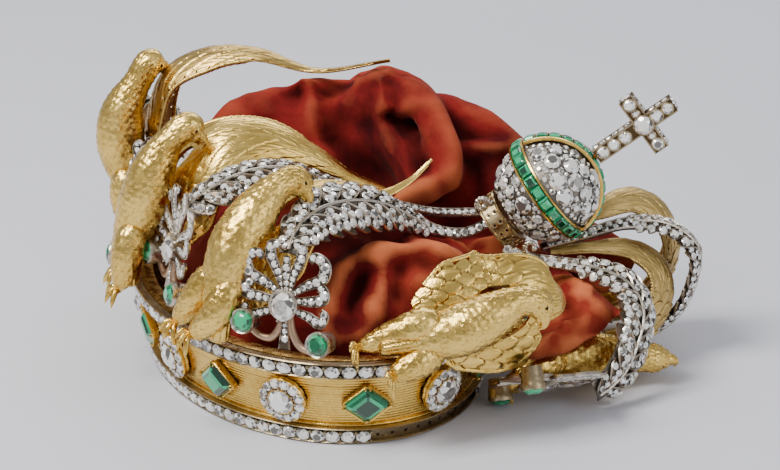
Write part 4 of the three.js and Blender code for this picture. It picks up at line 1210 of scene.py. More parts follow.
def make_leaf(number, palmette):
    """A leaf of diamond-set lobes on both sides of a rib, running on as a narrow set strip."""
    steps = 150
    blade = Blade(palmette["leaf"], palmette["inside"], 0.3, steps)
    metal, stones = Shape(), Shape()
    share = np.linspace(-1, 1, 13)[None]
    side = np.repeat(share, steps + 1, 0) * 0.9
    points, out = blade.surface(side)
    # the sheet's top is the dark backing metal, painted shade in the gaps between the lobes
    sheet(metal, points - out * 0.5, points - out * 1.1, 0.5, (3, 1))
    broad = blade.half > 2.6
    first = np.argmax(broad)
    last = steps - np.argmax(broad[::-1])
    t0, t1 = blade.t[first], blade.t[last]
    length = blade.length
    place = max(length[first], 0.5)
    q = np.linspace(0, 1, 14)
    while place < length[last] - 1:
        t = float(np.interp(place, length, blade.t))
        half = float(np.interp(t, blade.t, blade.half))
        pitch = 2.5 + 0.58 * half
        for edge in (-1, 1):
            shift = pitch * 0.5 * (edge > 0)
            short = 0.55 if edge < 0 and place < 12 else 1
            run = np.interp(place + shift + q * half * 1.25, length, blade.t)
            line = [blade.point(a, edge * (0.1 + 0.9 * b * short)) for a, b in zip(run, np.sin(q * 1.5))]
            spine = np.array([p for p, _ in line])
            normals = np.array([n for _, n in line])
            width = pitch * 0.45 * np.sin(0.35 + 2.35 * q) ** 0.5
            raised = spine + normals * (0.5 + 0.5 * np.sin(np.pi * q))[:, None]
            pod(metal, stones, raised, normals, width, first=0.35)
        place += pitch
    rib = [[*(blade.point(t, 0)[0] + blade.point(t, 0)[1]), 0.55] for t in np.linspace(t0, t1, 12)]
    limb(metal, rib, 8, 60, slot=2)
    strip_from = max(last - 4, 0)
    strip = blade.at[strip_from:] + blade.out[strip_from:] * 0.45
    widths = np.maximum(blade.half[strip_from:] * 1.1, 1.5)
    pod(metal, stones, strip, blade.out[strip_from:], widths)
    make(
        f"palmette_leaf_{number}", metal, [SILVER, INNER_GOLD, SILVER, SHADE_BACKING],
        replaces=[f"palmette_leaf_{number}"], slot="silver"
    )
    make_diamonds(f"palmette_leaf_{number}_diamonds", stones)


# ---------------------------------------------------------------- orb and cross
ORB_AXIS = unit([0.795, -0.056, 0.604])
ORB_SIDE = off(np.array([-0.57, 0.085, 0.82]), ORB_AXIS)
ORB_BASIS = np.array([ORB_SIDE, np.cross(ORB_AXIS, ORB_SIDE), ORB_AXIS])


# Where each small curl starts, which way it sets off and turns, its size and its half-thickness.
SCROLLS = [
    ([57.5, -9, 59.5], [-1, 0, 0.55], [-0.4, 0, -1], 2.3, 1.0),
    ([55.5, -18, 42.5], [-0.3, 0, 1], [-1, 0, -0.2], 1.6, 1.1),
    ([72, -20, 44], [-1, -0.1, 0.5], [0.4, 0, 1], 2.6, 1.0),
]


def in_orb(x, y, z):
    return np.array([x, y, z]) @ ORB_BASIS + ORB_CENTRE


def clear_of_hoops(place, radius):
    """Whether stones of a radius, at places on the orb in its own axes, miss the hoops and the collar."""
    x, y, z = place.T
    room = HOOP_HALF_WIDTH + 0.15 + radius
    under_hoop = (np.abs(z) < room) | ((z > -room) & (np.abs(y) < room))
    under_collar = (z < 0) & (np.hypot(x, y) < COLLAR_RADIUS + radius - 0.6)
    return ~(under_hoop | under_collar)


def pave_spots():
    """Directions and radii of the orb's stones: large ones that have pushed apart, small ones between."""
    count = 560
    k = np.arange(count) + 0.5
    height, turn = 1 - 2 * k / count, k * 2.39996
    ring = np.sqrt(1 - height**2)
    d = unit(
        np.stack([ring * np.cos(turn), ring * np.sin(turn), height], 1) + rng.normal(0, 0.02, (count, 3))
    )
    d = d[clear_of_hoops(d * ORB_RADIUS, 1.2)]
    d = d[rng.permutation(len(d))]
    size = rng.choice([2.9, 2.35, 1.8], len(d), p=[0.4, 0.35, 0.25])
    kept = []
    for i in range(len(d)):
        if clear_of_hoops(d[i : i + 1] * ORB_RADIUS, size[i] * 0.8)[0]:
            if all(np.linalg.norm(d[i] - d[j]) * ORB_RADIUS > 0.82 * (size[i] + size[j]) for j in kept):
                kept.append(i)
    d, size = d[kept], size[kept]
    for _ in range(60):
        gap = d[:, None] - d[None]
        distance = np.linalg.norm(gap, axis=2) + np.eye(len(d)) * 9
        wanted = (size[:, None] + size[None]) / ORB_RADIUS
        push = np.where(distance < wanted, (wanted - distance) * 0.3, 0)
        moved = unit(d + (gap / distance[..., None] * push[..., None]).sum(1))
        fine = clear_of_hoops(moved * ORB_RADIUS, size * 0.92)
        d = np.where(fine[:, None], moved, d)
    near = (np.linalg.norm(d[:, None] - d[None], axis=2) + np.eye(len(d)) * 9) * ORB_RADIUS
    size = np.minimum(size, near.min(1) * 0.52)
    spots = list(zip(d, size))
    for radius, tries in ((1.0, 2500), (0.72, 3500), (0.5, 4500)):
        for direction in unit(rng.normal(size=(tries, 3))):
            if clear_of_hoops(direction[None] * ORB_RADIUS, radius)[0]:
                if all(np.linalg.norm(direction - o) * ORB_RADIUS > radius + r + 0.04 for o, r in spots):
                    spots.append((direction, radius))
    return spots


def make_orb():
    metal, stones = Shape(), Shape()
    # the orb's body and its grains are the dark backing metal, painted shade between the stones
    ball(metal, ORB_CENTRE, ORB_RADIUS - 0.35, basis=ORB_BASIS, rows=30, sides=48)
    spots = pave_spots()
    for direction, radius in spots:
        normal = direction @ ORB_BASIS
        along = off(np.array([0.3, 1, 0.2]), normal)
        stone(stones, ORB_CENTRE + normal * (ORB_RADIUS - 0.15), normal, along, radius * 1.07)
        for k in range(4 if radius > 1.2 else 0):
            a = k * np.pi / 2 + radius * 7
            aside = np.cross(normal, along)
            grain = normal * ORB_RADIUS + (math.cos(a) * along + math.sin(a) * aside) * (radius + 0.05)
            ball(metal, ORB_CENTRE + unit(grain) * (ORB_RADIUS + 0.05), 0.36, rows=2, sides=5)
    make("orb", metal, [SHADE_BACKING], replaces=["orb"], slot="silver")
    make_diamonds("orb_diamonds", stones)

    for name, count, full in (("orb_equator", 26, True), ("orb_half_hoop", 12, False)):
        channel, greens = Shape(), Shape()
        wide, deep = HOOP_HALF_WIDTH, 0.55
        section = np.array(
            [
                [-0.3, -wide], [deep + 0.2, -wide], [deep + 0.3, -wide + 0.5], [0, -wide + 0.6],
                [0, wide - 0.6], [deep + 0.3, wide - 0.5], [deep + 0.2, wide], [-0.3, wide]
            ]
        )
        start, sweep = (0, 2 * np.pi) if full else (0.17, np.pi - 0.34)
        angles = start + np.linspace(0, sweep, 121)[: 120 if full else 121]
        r = HOOP_INNER + section[None, :, 0] + 0 * angles[:, None]
        x, y = r * np.cos(angles)[:, None], r * np.sin(angles)[:, None]
        h = section[None, :, 1] + 0 * r
        rings = np.stack([x, y, h], -1) if full else np.stack([x, h, y], -1)
        tube(channel, rings @ ORB_BASIS + ORB_CENTRE, [0.4, 0.9, 1, 0.1, 0.1, 1, 0.9, 0.4], loop=full)
        for k in range(count):
            a = start + (k + 0.5) * sweep / count
            radial, tangent = np.array([math.cos(a), math.sin(a), 0]), np.array(
                [-math.sin(a), math.cos(a), 0]
            )
            axis = np.array([0, 0, 1.0])
            if not full:
                radial, tangent, axis = radial[[0, 2, 1]], tangent[[0, 2, 1]], np.array([0, 1.0, 0])
            local = np.array([tangent, axis, radial])
            long = (HOOP_INNER + 1) * sweep / count / 2 - 0.12
            w = wide - 0.62
            outline = lozenge(long, w, 0.8)
            step_stone(
                greens, outline, 1.25, local @ ORB_BASIS,
                radial * (HOOP_INNER + 0.3) @ ORB_BASIS + ORB_CENTRE
            )
        make(f"{name}_channel", channel, [PLAIN_GOLD], replaces=[name], slot="gold")
        make_emeralds(f"{name}_emeralds", greens)


def make_collar():
    metal = Shape()
    seat = math.sqrt(ORB_RADIUS**2 - (COLLAR_RADIUS - 1.6) ** 2) + 0.5
    far = -seat - COLLAR_LENGTH
    profile = [
        [8, -seat], [9.7, -seat], [10.1, -seat - 0.4], [9.7, -seat - 0.9], [9.75, far + 1],
        [10.3, far + 0.6], [10.3, far + 0.2], [9.9, far], [8.6, far]
    ]
    lathe(metal, profile, ORB_BASIS, ORB_CENTRE, 72, relief=[0.5, 0.8, 1, 0.5, 0.7, 1, 1, 0.8, 0.5])
    for k in range(16):
        for height in (1.9, 4.3):
            a = (k + 0.5) * np.pi / 8
            spoke = np.array([math.cos(a), math.sin(a), 0]) @ ORB_BASIS
            hole = in_orb(9.72 * math.cos(a), 9.72 * math.sin(a), -seat - height)
            basis = np.array([np.cross(ORB_AXIS, spoke), ORB_AXIS, spoke])
            lathe(metal, [[0.62, -0.3], [0.95, -0.2], [0.9, 0.18], [0.62, 0.12]], basis, hole, 14)
            # a near-black flattened ball of the shadowed metal in each hole is painted shadow
            ball(metal, hole - spoke * 0.15, 0.66, (1, 1, 0.35), basis, slot=1, rows=4, sides=12)
    make("orb_collar", metal, [COLLAR_GOLD, DARK], replaces=["orb_collar"], slot="gold")


def make_scrolls():
    """The curled silver tips by the collar, where the leafed strips end."""
    metal = Shape()
    for at, along, across, size, thick in SCROLLS:
        at, along, across = np.array(at, float), unit(along), unit(across)
        turn = np.linspace(0, 1, 12)
        angle, reach = turn * 4.6, size * (1 - 0.6 * turn)
        curl = at + across * size + np.outer(reach * np.sin(angle), along) - np.outer(
            reach * np.cos(angle), across
        )
        tail = at - np.outer([3.2, 1.6], along) * size / 2.5
        places = np.vstack([tail, curl])
        limb(
            metal, np.column_stack([places, np.linspace(thick, thick * 0.75, len(places))]), 12, 70,
            knuckles
        )
        ball(metal, curl[-1], thick * 1.15, rows=6, sides=12)
    make("collar_scrolls", metal, [SILVER], slot="silver")


def make_cross():
    metal, stones = Shape(), Shape()
    half, arm = CROSS_BAR / 2, CROSS_SPAN / 2
    bar(metal, 0.2, CROSS_LENGTH, lambda u, v, s: [u, v, s + ORB_TOP])
    for side in (-1, 1):
        start, end = sorted((side * half, side * arm))
        bar(metal, start, end, lambda u, v, s: [s, u, ORB_TOP + CROSS_CENTRE + v])
    spots = []
    for z, r in (
        (3.0, 2.05), (7.4, 2.0), (11.9, 2.15), (CROSS_CENTRE + 5.2, 2.2), (CROSS_CENTRE + 9.6, 1.9)
    ):
        spots.append((0, z, r))
    spots += [(x, CROSS_CENTRE, r) for x, r in ((-8.1, 2.1), (-4.5, 1.3), (4.5, 1.3), (8.1, 2.1))]
    for facing in (-1, 1):
        normal = np.array([0, facing, 0]) @ ORB_BASIS
        for x, z, r in spots:
            stone(
                stones, in_orb(x, facing * (half - 0.1), ORB_TOP + z), normal, ORB_AXIS, r,
                template=BRILLIANT
            )
            collet(metal, in_orb(x, facing * (half - 0.3), ORB_TOP + z), normal, ORB_AXIS, r)
        stone(stones, in_orb(0, facing * (half + 0.5), ORB_TOP + CROSS_CENTRE), normal, ORB_AXIS, 3.3)
        collet(metal, in_orb(0, facing * (half + 0.3), ORB_TOP + CROSS_CENTRE), normal, ORB_AXIS, 3.3)
        sideways = np.array([facing, 0, 0]) @ ORB_BASIS
        for z in [1.6, 4.2, 6.8, 9.4, 12, 14.6, 24.4, 27, 29.6]:
            stone(stones, in_orb(facing * (half - 0.2), 0, ORB_TOP + z), sideways, ORB_AXIS, 1.15)
        stone(stones, in_orb(facing * (arm + 0.05), 0, ORB_TOP + CROSS_CENTRE), sideways, ORB_AXIS, 1.9)
        for x in (-9, -6.3, -3.9, 3.9, 6.3, 9):
            up = ORB_AXIS * facing
            stone(stones, in_orb(x, 0, ORB_TOP + CROSS_CENTRE + facing * (half - 0.2)), up, ORB_SIDE, 1.15)
    stone(stones, in_orb(0, 0, ORB_TOP + CROSS_LENGTH + 0.05), ORB_AXIS, ORB_SIDE, 1.9)
    make("cross", metal, [CROSS_METAL], body="cross", replaces=["cross"], slot="silver")
    make_diamonds("cross_diamonds", stones, body="cross")


def collet(metal, at, normal, along, radius):
    basis = np.array([np.cross(along, normal), along, normal])
    lathe(
        metal, [[radius * 0.8, -0.6], [radius + 0.25, -0.4], [radius + 0.3, 0.25], [radius - 0.1, 0.45]],
        basis, at, 20
    )


def bar(metal, start, end, place):
    """A square bar of the cross with panelled faces between raised edges. place turns two shares across
    it and one along it into a point in the orb's axes."""
    half, inset, sunk = CROSS_BAR / 2, 0.5, 0.35
    outline = []
    for a, b in (((1, 0), (0, 1)), ((0, 1), (-1, 0)), ((-1, 0), (0, -1)), ((0, -1), (1, 0))):
        a, b = np.array(a), np.array(b)
        edge, panel = b * (half - inset), b * (half - inset - 0.1)
        outline += [(a - b) * half, a * half - edge, a * (half - sunk) - panel]
        outline += [a * (half - sunk) + panel, a * half + edge]
    rings = np.array([[place(u, v, s) for u, v in outline] for s in (start, end)])
    tube(metal, rings @ ORB_BASIS + ORB_CENTRE, [1, 1, 0.1, 0.1, 1] * 4)


# ---------------------------------------------------------------- velvet cap
RIM_HEIGHT, RIM_INSET = 19, 5
DOME_TOP = np.array([-6, -10, 61.0])
LOBES = [
    [[-2, 33, 50], [46, 22, 37], 0.1],
    [[27, 40, 60], [27, 15, 31], 0],
    [[44, 19, 44], [32, 15, 38], -0.15],
]
LOBE_INSET = 5
# The folds that stand up from it and the rolls that spill over its side, as [x, y, z, radius] stops.
ROLLS = [
    [
        [-35.3, 28, 73.5, 5], [-28.5, 32, 79, 6], [-18.2, 34, 81.5, 6.5], [-5.1, 35, 82.5, 6.5],
        [7, 36, 84, 6], [14, 36, 84, 5.5]
    ],
    [
        [5.3, 30, 80.8, 5], [13, 28, 83.5, 6], [22.6, 26, 87.7, 6.5], [31.1, 24, 88.7, 7],
        [37.9, 20, 86.7, 6.5], [42.3, 14, 81, 6], [45.6, 8, 73, 6], [46.9, 4, 64, 5.5]
    ],
    [[10.3, 44, 80.4, 5], [18.3, 46, 85.6, 6], [26.7, 46, 86.7, 6], [34.7, 44, 83.7, 6], [41.6, 40, 79, 6]],
    [[40.4, 30, 82, 6], [50.1, 28, 80, 6.5], [60.3, 26, 76.3, 6.5], [68, 24, 72, 5]],
    [[48.3, 20, 70.1, 5], [56.8, 20, 70.8, 5], [65.4, 20, 71.6, 5], [71, 20, 72, 4]],
    [[27, 0, 55.4, 4], [34.4, 0, 59.7, 5], [41.2, 2, 62.5, 5], [46.3, 4, 66.1, 5]],
    [[13.5, -30, 51, 6], [10.6, -34, 45.8, 6], [8, -38, 37.5, 6], [6.4, -42, 28.5, 6], [7, -45, 24, 5]],
    [[18, -22, 48.7, 7], [27.7, -20, 48, 8], [37.7, -18, 44.8, 8], [47.7, -16, 41.1, 7]],
    [
        [27.6, -28, 46.7, 6], [32.6, -32, 44, 6.5], [29.9, -36, 37.4, 6], [25.3, -40, 32, 6],
        [19.5, -44, 26.5, 6]
    ],
    [[39.8, -30, 43.3, 7], [36.5, -36, 35.7, 7], [29.3, -42, 29.2, 6]],
    [
        [48, 2, 38, 6], [60, 1, 38, 6.5], [76, 1, 32, 8], [92, 0, 31, 7.5], [104, -1, 30, 6],
        [111, -1, 27, 3]
    ],
    [
        [78, 0, 32, 6], [84, -10, 31, 7], [87, -20, 30, 7.5], [91, -27, 28, 8], [97, -29, 27, 6.5],
        [104, -29, 25, 3]
    ],
    [[14, 26, 71, 8], [24, 24, 69, 9.5], [34, 16, 63, 10]],
    [[16, 33, 73, 8], [28, 33, 72, 9], [38, 27, 68, 9]],
    [[28, -43, 44, 6], [35, -41, 42, 7], [42, -39, 38, 7], [48, -37, 35, 6]],
    [[82, 20, 36, 5], [90, 20, 38.5, 5.5], [98, 18, 39, 5.5], [105, 15, 37, 4.5]],
    [[84, 8, 36.5, 5], [92, 8, 37, 6], [100, 7, 36.5, 6], [107, 5, 34.5, 5]],
    [[62, 24, 70, 6], [68, 22, 64, 6.5], [70, 20, 56, 6], [68, 16, 48, 6]],
    [
        [12.4, -42, 46, 4], [17, -40, 49.8, 4.6], [23.3, -38, 51.6, 5], [31, -34, 50, 5],
        [37.9, -30, 48, 5], [45, -27, 44.5, 5], [51.4, -25, 40.6, 4.5]
    ],
    [[63, -49, 23, 3], [72, -45, 22, 6], [81, -38, 24, 8], [90, -31, 26, 8], [96, -27, 27, 6]],
]
# Sharper folds drawn into the cloth afterwards: how far they stand up (or in), half-width and stops.
FOLDS = [
    (
        2.6, 3.6,
        [
            [12.4, -45, 50], [17, -44, 54], [23.3, -42, 57], [31, -38, 56.5], [37.9, -34, 54],
            [45, -31, 50], [51.4, -29, 46]
        ]
    ),
    (-1.2, 3.6, [[-25, 30, 84], [-8, 31, 86], [3, 31, 86], [12, 27, 88], [20, 23, 89.8], [26, 20, 92]]),
    (2.2, 3.0, [[24, 31, 76], [30, 30, 79], [35, 15, 87], [41, 13, 88]]),
    (2.4, 3.2, [[42, 13, 88], [46, 8.5, 81.7], [48, 4.5, 76], [49, 1.3, 69], [46, -0.7, 63]]),
    (-4.0, 8.5, [[5, 22.7, 73.6], [12, 22.5, 70], [19, 23, 66.3], [29, 15.7, 65], [38, 12, 64]]),
    (2.2, 2.4, [[28, -1.8, 59.6], [36, -2.4, 63.7], [45, -0.2, 67.5]]),
    (-4.5, 2.4, [[17.6, -43.6, 50], [16.3, -49.2, 47.7], [15, -53.8, 45], [13.8, -58, 41.7]]),
    (3.2, 3.6, [[17, -41.5, 51], [10.8, -45.6, 50.5], [7.4, -54.3, 45], [5.5, -61, 37.5]]),
    (3.4, 4.0, [[19.5, -33.8, 52.7], [23.4, -41, 49], [24, -51, 43.8], [17.7, -57.6, 41]]),
    (-2.6, 3.0, [[28, -36, 49.3], [28.6, -43.4, 45.5], [26.6, -53, 40.6]]),
    (
        2.4, 2.6,
        [[51.8, 13.7, 73.6], [57.3, 15.2, 72.4], [62, 15.5, 72.3], [67.6, 16.5, 72.7], [72.4, 18, 73]]
    ),
    (-2.4, 2.4, [[50.5, 16, 76], [56, 17.3, 75], [62, 17, 74.7], [68.6, 17.5, 74.5]]),
    (-3.0, 3.0, [[54.6, 12.6, 69.7], [58, 12.2, 66.2], [58.7, 10, 58]]),
    (2.0, 2.4, [[83, -26, 33.5], [88.8, -30.5, 34.6], [95.3, -33.3, 32], [98.6, -33.5, 29.4]]),
    (-3.0, 2.8, [[88, -34, 33], [83.6, -42, 30], [80, -47, 24.8]]),
    (1.8, 3.0, [[93, -36, 30.4], [88.3, -42, 25], [81.7, -44.4, 18.8]]),
    (-4.0, 4.5, [[80.6, -9.4, 37.2], [90.2, -6, 36], [100.5, -5, 35], [108, -3.2, 32]]),
    (1.6, 4.0, [[-30.7, 25.5, 77], [-22, 27, 80], [-11.8, 27.6, 81.3], [-1.5, 27.6, 81.3]]),
    (-2.0, 4.0, [[-29, 21.8, 66.6], [-18.5, 20.8, 70.6], [-8.2, 20.8, 72.4], [2, 21.4, 72.2]]),
    (2.6, 3.4, [[29.3, -33.4, 50.4], [36, -28.4, 50.3], [42.4, -30, 48.5], [49.3, -22, 42]]),
    (2.2, 3.4, [[6.8, -63.4, 34.2], [16.4, -63.2, 34.2], [22.8, -57.6, 38.8], [29.2, -51.7, 40]]),
]
# The cap is gathered from one round of velvet. Its rim is 394 mm round, so before it was crushed it was a
# half ball of 63 mm radius: 99 mm from rim to top over the curve, and 6 mm more is sewn in.
CLOTH_GRAIN = 0.0021  # metres, between the cloth's points
CLOTH_FRAMES = 22
CLOTH_REACH = 0.003  # how far a point of the cloth may move from where it was laid
CLOTH_HELD_NEAR = 0.0022  # points this near to metal are held still
CLOTH_THICKNESS = 0.0012
CLEARANCE = 0.0009  # between the cloth and metal


def cap_volume():
    """What the cap fills, as overlapping closed bodies."""
    volume = Shape()
    angle = np.linspace(0, 2 * np.pi, 72, endpoint=False)
    rings = []
    for rise in np.linspace(0, 0.96, 12):
        rim = oval_point(angle, -RIM_INSET - 3 + FLARE * RIM_HEIGHT, RIM_HEIGHT)
        reach, height = math.cos(rise * np.pi / 2) ** 0.75, math.sin(rise * np.pi / 2)
        ring = rim * reach + DOME_TOP * height * (1 - reach)
        ring[:, 2] = RIM_HEIGHT - 3 + (DOME_TOP[2] - RIM_HEIGHT - 1) * height
        rings.append(ring)
    tube(volume, np.array(rings))
    for centre, half, turn in LOBES:
        c, s = math.cos(turn), math.sin(turn)
        basis = np.array([[c, s, 0], [-s, c, 0], [0, 0, 1]])
        ball(volume, centre, 1, np.array(half) - LOBE_INSET, basis, rows=24, sides=40)
    for roll in ROLLS:
        limb(volume, roll, 20, 40)
        for end in (roll[0], roll[-1]):
            ball(volume, end[:3], end[3] * 0.98, rows=10, sides=18)
    return volume


def smoothed(points, edges, rounds, share=0.5):
    for _ in range(rounds):
        total, count = np.zeros_like(points), np.zeros(len(points))
        for a, b in ((0, 1), (1, 0)):
            for k in range(3):
                total[:, k] += np.bincount(edges[:, a], points[edges[:, b], k], len(points))
            count += np.bincount(edges[:, a], minlength=len(points))
        points = points + share * (total / np.maximum(count, 1)[:, None] - points)
    return points


def arrays(mesh):
    points = np.empty(len(mesh.vertices) * 3)
    mesh.vertices.foreach_get("co", points)
    edges = np.empty(len(mesh.edges) * 2, int)
    mesh.edges.foreach_get("vertices", edges)
    return points.reshape(-1, 3), edges.reshape(-1, 2)


def put(mesh, points):
    mesh.vertices.foreach_set("co", points.ravel())
    mesh.update()


def hard_parts():
    """A search tree of every CAD node but the cap, for laying the cloth against them."""
    points, faces = [], []
    for name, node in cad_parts.items():
        if name != "velvet_cap":
            base = len(points)
            points += [v.co.copy() for v in node.data.vertices]
            faces += [[base + i for i in p.vertices] for p in node.data.polygons]
    return BVHTree.FromPolygons(points, faces)


def cleared(points, tree):
    """Points that are in or too near a hard part, moved out to where the cloth can lie on it."""
    for i, p in enumerate(points):
        place, normal, _, distance = tree.find_nearest(Vector(p), 0.004)
        if place is None:
            continue
        inside = (Vector(p) - place).dot(normal) < 0
        if inside or distance < CLEARANCE:
            points[i] = place + normal * CLEARANCE
    return points


def make_velvet():
    volume = cap_volume()
    source_mesh = bpy.data.meshes.new("cap_volume")
    source_mesh.from_pydata((np.vstack(volume.points) * MM + ORIGIN).tolist(), [], volume.faces)
    source = bpy.data.objects.new("cap_volume", source_mesh)
    bpy.context.scene.collection.objects.link(source)
    remesh = source.modifiers.new("skin", "REMESH")
    remesh.mode = "VOXEL"
    remesh.voxel_size = CLOTH_GRAIN
    bpy.context.view_layer.update()
    mesh = bpy.data.meshes.new_from_object(source.evaluated_get(bpy.context.evaluated_depsgraph_get()))
    bpy.data.objects.remove(source)
    # the underside, inside the circlet, is open
    points, _ = arrays(mesh)
    layout = (points - ORIGIN) / MM
    c, s = math.cos(OVAL_TURN), math.sin(OVAL_TURN)
    x, y = layout[:, 0] * c + layout[:, 1] * s, layout[:, 1] * c - layout[:, 0] * s
    within = np.hypot(x / (OVAL_ACROSS + 3), y / (OVAL_ALONG + 3)) < 1
    bm = bmesh.new()
    bm.from_mesh(mesh)
    bm.verts.ensure_lookup_table()
    gone = [bm.verts[i] for i in np.nonzero(within & (layout[:, 2] < RIM_HEIGHT))[0]]
    bmesh.ops.delete(bm, geom=gone, context="VERTS")
    bm.to_mesh(mesh)
    bm.free()
    points, edges = arrays(mesh)
    laid = smoothed(points, edges, 5)
    rest = (laid - ORIGIN) / MM
    put(mesh, laid)
    cloth = bpy.data.objects.new("velvet_cap_cloth", mesh)
    bpy.context.scene.collection.objects.link(cloth)
    tree = hard_parts()
    near = [
        i for i, p in enumerate(laid) if tree.find_nearest(Vector(p), CLOTH_HELD_NEAR)[0] is not None
    ]
    held = cloth.vertex_groups.new(name="held")
    rim = np.nonzero(laid[:, 2] < ORIGIN[2] + (RIM_HEIGHT + 2) * MM)[0]
    held.add(sorted(set(near) | set(rim.tolist())), 1.0, "REPLACE")
    slump(cloth)
    moved, _ = arrays(cloth.data)
    shift = moved - laid
    far = np.linalg.norm(shift, axis=1, keepdims=True)
    laid = laid + shift * np.minimum(1, CLOTH_REACH / np.maximum(far, 1e-9))
    laid = smoothed(laid, edges, 1)
    put(mesh, laid)
    laid = laid + folded(mesh, rest)
    laid = smoothed(laid, edges, 1, 0.3)
    laid = cleared(laid, tree)
    put(mesh, laid)
    finish_velvet(cloth, laid, edges)


def folded(mesh, points):
    """How far the drawn folds, and smaller ones of its own, move the cloth's points, in metres."""
    normals = np.empty(len(mesh.vertices) * 3)
    mesh.vertices.foreach_get("normal", normals)
    normals = normals.reshape(-1, 3)
    rise = 0.5 * wobble(points[:, 0] * 0.22, points[:, 1] * 0.2, points[:, 2] * 0.25)
    for height, wide, stops in FOLDS:
        line, _ = catmull(stops, np.linspace(0, 1, 40))
        gap = points[:, None] - line[None]
        # a fold still shows where the cloth has moved in or out from under it
        level = np.einsum("ijk,ik->ij", gap, normals)
        distance = np.sqrt(np.maximum((gap**2).sum(2) - 0.8 * np.clip(level, -6, 6) ** 2, 0))
        nearest = distance.argmin(1)
        ends = np.sin(np.pi * (0.12 + 0.76 * nearest / 39)) ** 0.7
        rise += height * ends * np.exp(-((distance.min(1) / wide) ** 2))
    return normals * rise[:, None] * MM


def slump(cloth):
    """Lets the cloth buckle into folds of its own, held where the metal grips it."""
    modifier = cloth.modifiers.new("slump", "CLOTH")
    settings = modifier.settings
    settings.quality = 6
    settings.mass = 0.1
    settings.tension_stiffness = 15
    settings.compression_stiffness = 15
    settings.shear_stiffness = 5
    settings.bending_stiffness = 1.5
    settings.vertex_group_mass = "held"
    settings.shrink_min = -0.2
    settings.effector_weights.gravity = 0.3
    modifier.point_cache.frame_end = CLOTH_FRAMES
    for number in range(1, CLOTH_FRAMES + 1):
        bpy.context.scene.frame_set(number)
    settled = bpy.data.meshes.new_from_object(cloth.evaluated_get(bpy.context.evaluated_depsgraph_get()))
    points, _ = arrays(settled)
    cloth.modifiers.clear()
    bpy.context.scene.frame_set(1)
    put(cloth.data, points)
    bpy.data.meshes.remove(settled)


def finish_velvet(cloth, points, edges):
    mesh = cloth.data
    normals = np.empty(len(mesh.vertices) * 3)
    mesh.vertices.foreach_get("normal", normals)
    normals = normals.reshape(-1, 3)
    # how far each point stands out from the cloth round it, near and far
    bulge = np.zeros(len(points))
    for rounds, weight in ((6, 0.6), (30, 0.4)):
        out = ((points - smoothed(points, edges, rounds)) * normals).sum(1)
        bulge += weight * out / max(np.std(out), 1e-9)
    field = np.repeat(bulge[:, None], 3, 1)
    bulge = smoothed(field, edges, 2)[:, 0]
    relief = np.clip(0.5 + 0.2 * bulge, 0, 1)
    mesh.attributes.new("relief", "FLOAT", "POINT").data.foreach_set("value", relief)
    mesh.materials.clear()
    mesh.materials.append(VELVET)
    mesh.polygons.foreach_set("use_smooth", [True] * len(mesh.polygons))
    thick = cloth.modifiers.new("thickness", "SOLIDIFY")
    thick.thickness = CLOTH_THICKNESS
    thick.offset = -1
    fine = cloth.modifiers.new("fine", "SUBSURF")
    fine.levels = fine.render_levels = 1
    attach(cloth, "crown")
    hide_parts("velvet_cap")


# ---------------------------------------------------------------- assembly
make_circlet()
for k in range(STATIONS):
    if k % 2:
        make_cluster(k // 2 + 1, station_angle(k))
    else:
        make_band_emerald(k // 2 + 1, station_angle(k))
for place, eagle in enumerate(EAGLES, 1):
    make_eagle(place, eagle)
    make_wings(place, eagle)
for place, palmette in enumerate(PALMETTES, 1):
    make_palmette(place, palmette)
    make_leaf(place, palmette)
make_orb()
make_collar()
make_scrolls()
make_cross()
make_velvet()
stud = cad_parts["cross_stud"]
stud.data.materials.clear()
stud.data.materials.append(PLAIN_GOLD)


# ---------------------------------------------------------------- floor, light and camera, in metres
FLOOR_DROP = 0.0002  # how far the floor lies under the part
CAMERA_TARGET = (0.026, 0, 0.0435)  # from the middle of the circlet's foot
CAMERA_ELEVATION, CAMERA_DISTANCE, CAMERA_LENS = 20, 0.992, 135


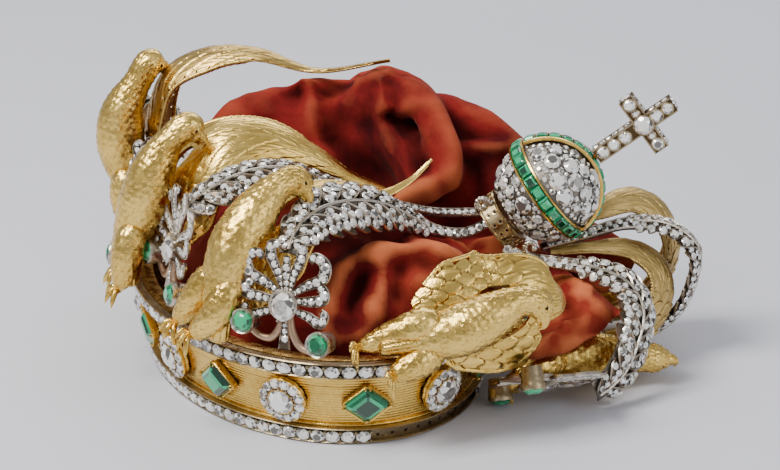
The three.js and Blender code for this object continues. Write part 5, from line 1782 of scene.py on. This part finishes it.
def make_stage():
    floor_mesh = bpy.data.meshes.new("floor")
    bm = bmesh.new()
    bmesh.ops.create_grid(bm, x_segments=2, y_segments=2, size=4)
    bm.to_mesh(floor_mesh)
    bm.free()
    floor = bpy.data.objects.new("floor", floor_mesh)
    floor.location.z = -FLOOR_DROP
    bpy.context.scene.collection.objects.link(floor)
    material, tree, shader = nodes_of("pale_paper", (0.62, 0.62, 0.64), 0.9, 0)
    colour = ramp(tree, noise(tree, 3, 2), (0.3, (0.65, 0.655, 0.71)), (0.7, (0.69, 0.695, 0.75)))
    tree.links.new(colour, shader.inputs["Base Color"])
    floor_mesh.materials.append(material)


def area_light(name, place, target, size, power, colour=(1, 1, 1)):
    data = bpy.data.lights.new(name, "AREA")
    data.shape = "RECTANGLE"
    data.size, data.size_y = size
    data.energy = power
    data.color = colour
    light = bpy.data.objects.new(name, data)
    light.location = place
    light.rotation_mode = "QUATERNION"
    light.rotation_quaternion = (Vector(target) - Vector(place)).to_track_quat("-Z", "Y")
    bpy.context.scene.collection.objects.link(light)


def make_lights_and_camera():
    middle = (cad_bounds[0] + cad_bounds[1]) / 2
    area_light("key", middle + Vector((-0.5, -0.3, 0.85)), middle, (0.42, 0.42), 13, (1, 0.985, 0.96))
    area_light("fill", middle + Vector((0.8, -0.7, 0.45)), middle, (0.6, 0.6), 2.6)
    area_light("back", middle + Vector((0.1, 0.9, 0.7)), middle, (0.9, 0.4), 4.5)
    world = bpy.data.worlds.new("studio")
    bpy.context.scene.world = world
    world.use_nodes = True
    background = world.node_tree.nodes["Background"]
    background.inputs["Color"].default_value = (0.84, 0.86, 0.92, 1)
    background.inputs["Strength"].default_value = 0.55

    data = bpy.data.cameras.new("camera")
    data.sensor_width, data.lens = 36, CAMERA_LENS
    camera = bpy.data.objects.new("camera", data)
    target = Vector(ORIGIN.tolist()) + Vector(CAMERA_TARGET)
    elevation = math.radians(CAMERA_ELEVATION)
    back = Vector((0, -math.cos(elevation), math.sin(elevation)))
    camera.location = target + back * CAMERA_DISTANCE
    camera.rotation_mode = "QUATERNION"
    camera.rotation_quaternion = (-back).to_track_quat("-Z", "Y")
    data.clip_start, data.clip_end = 0.05, 20
    bpy.context.scene.collection.objects.link(camera)
    bpy.context.scene.camera = camera


make_stage()
make_lights_and_camera()

bpy.context.view_layer.update()
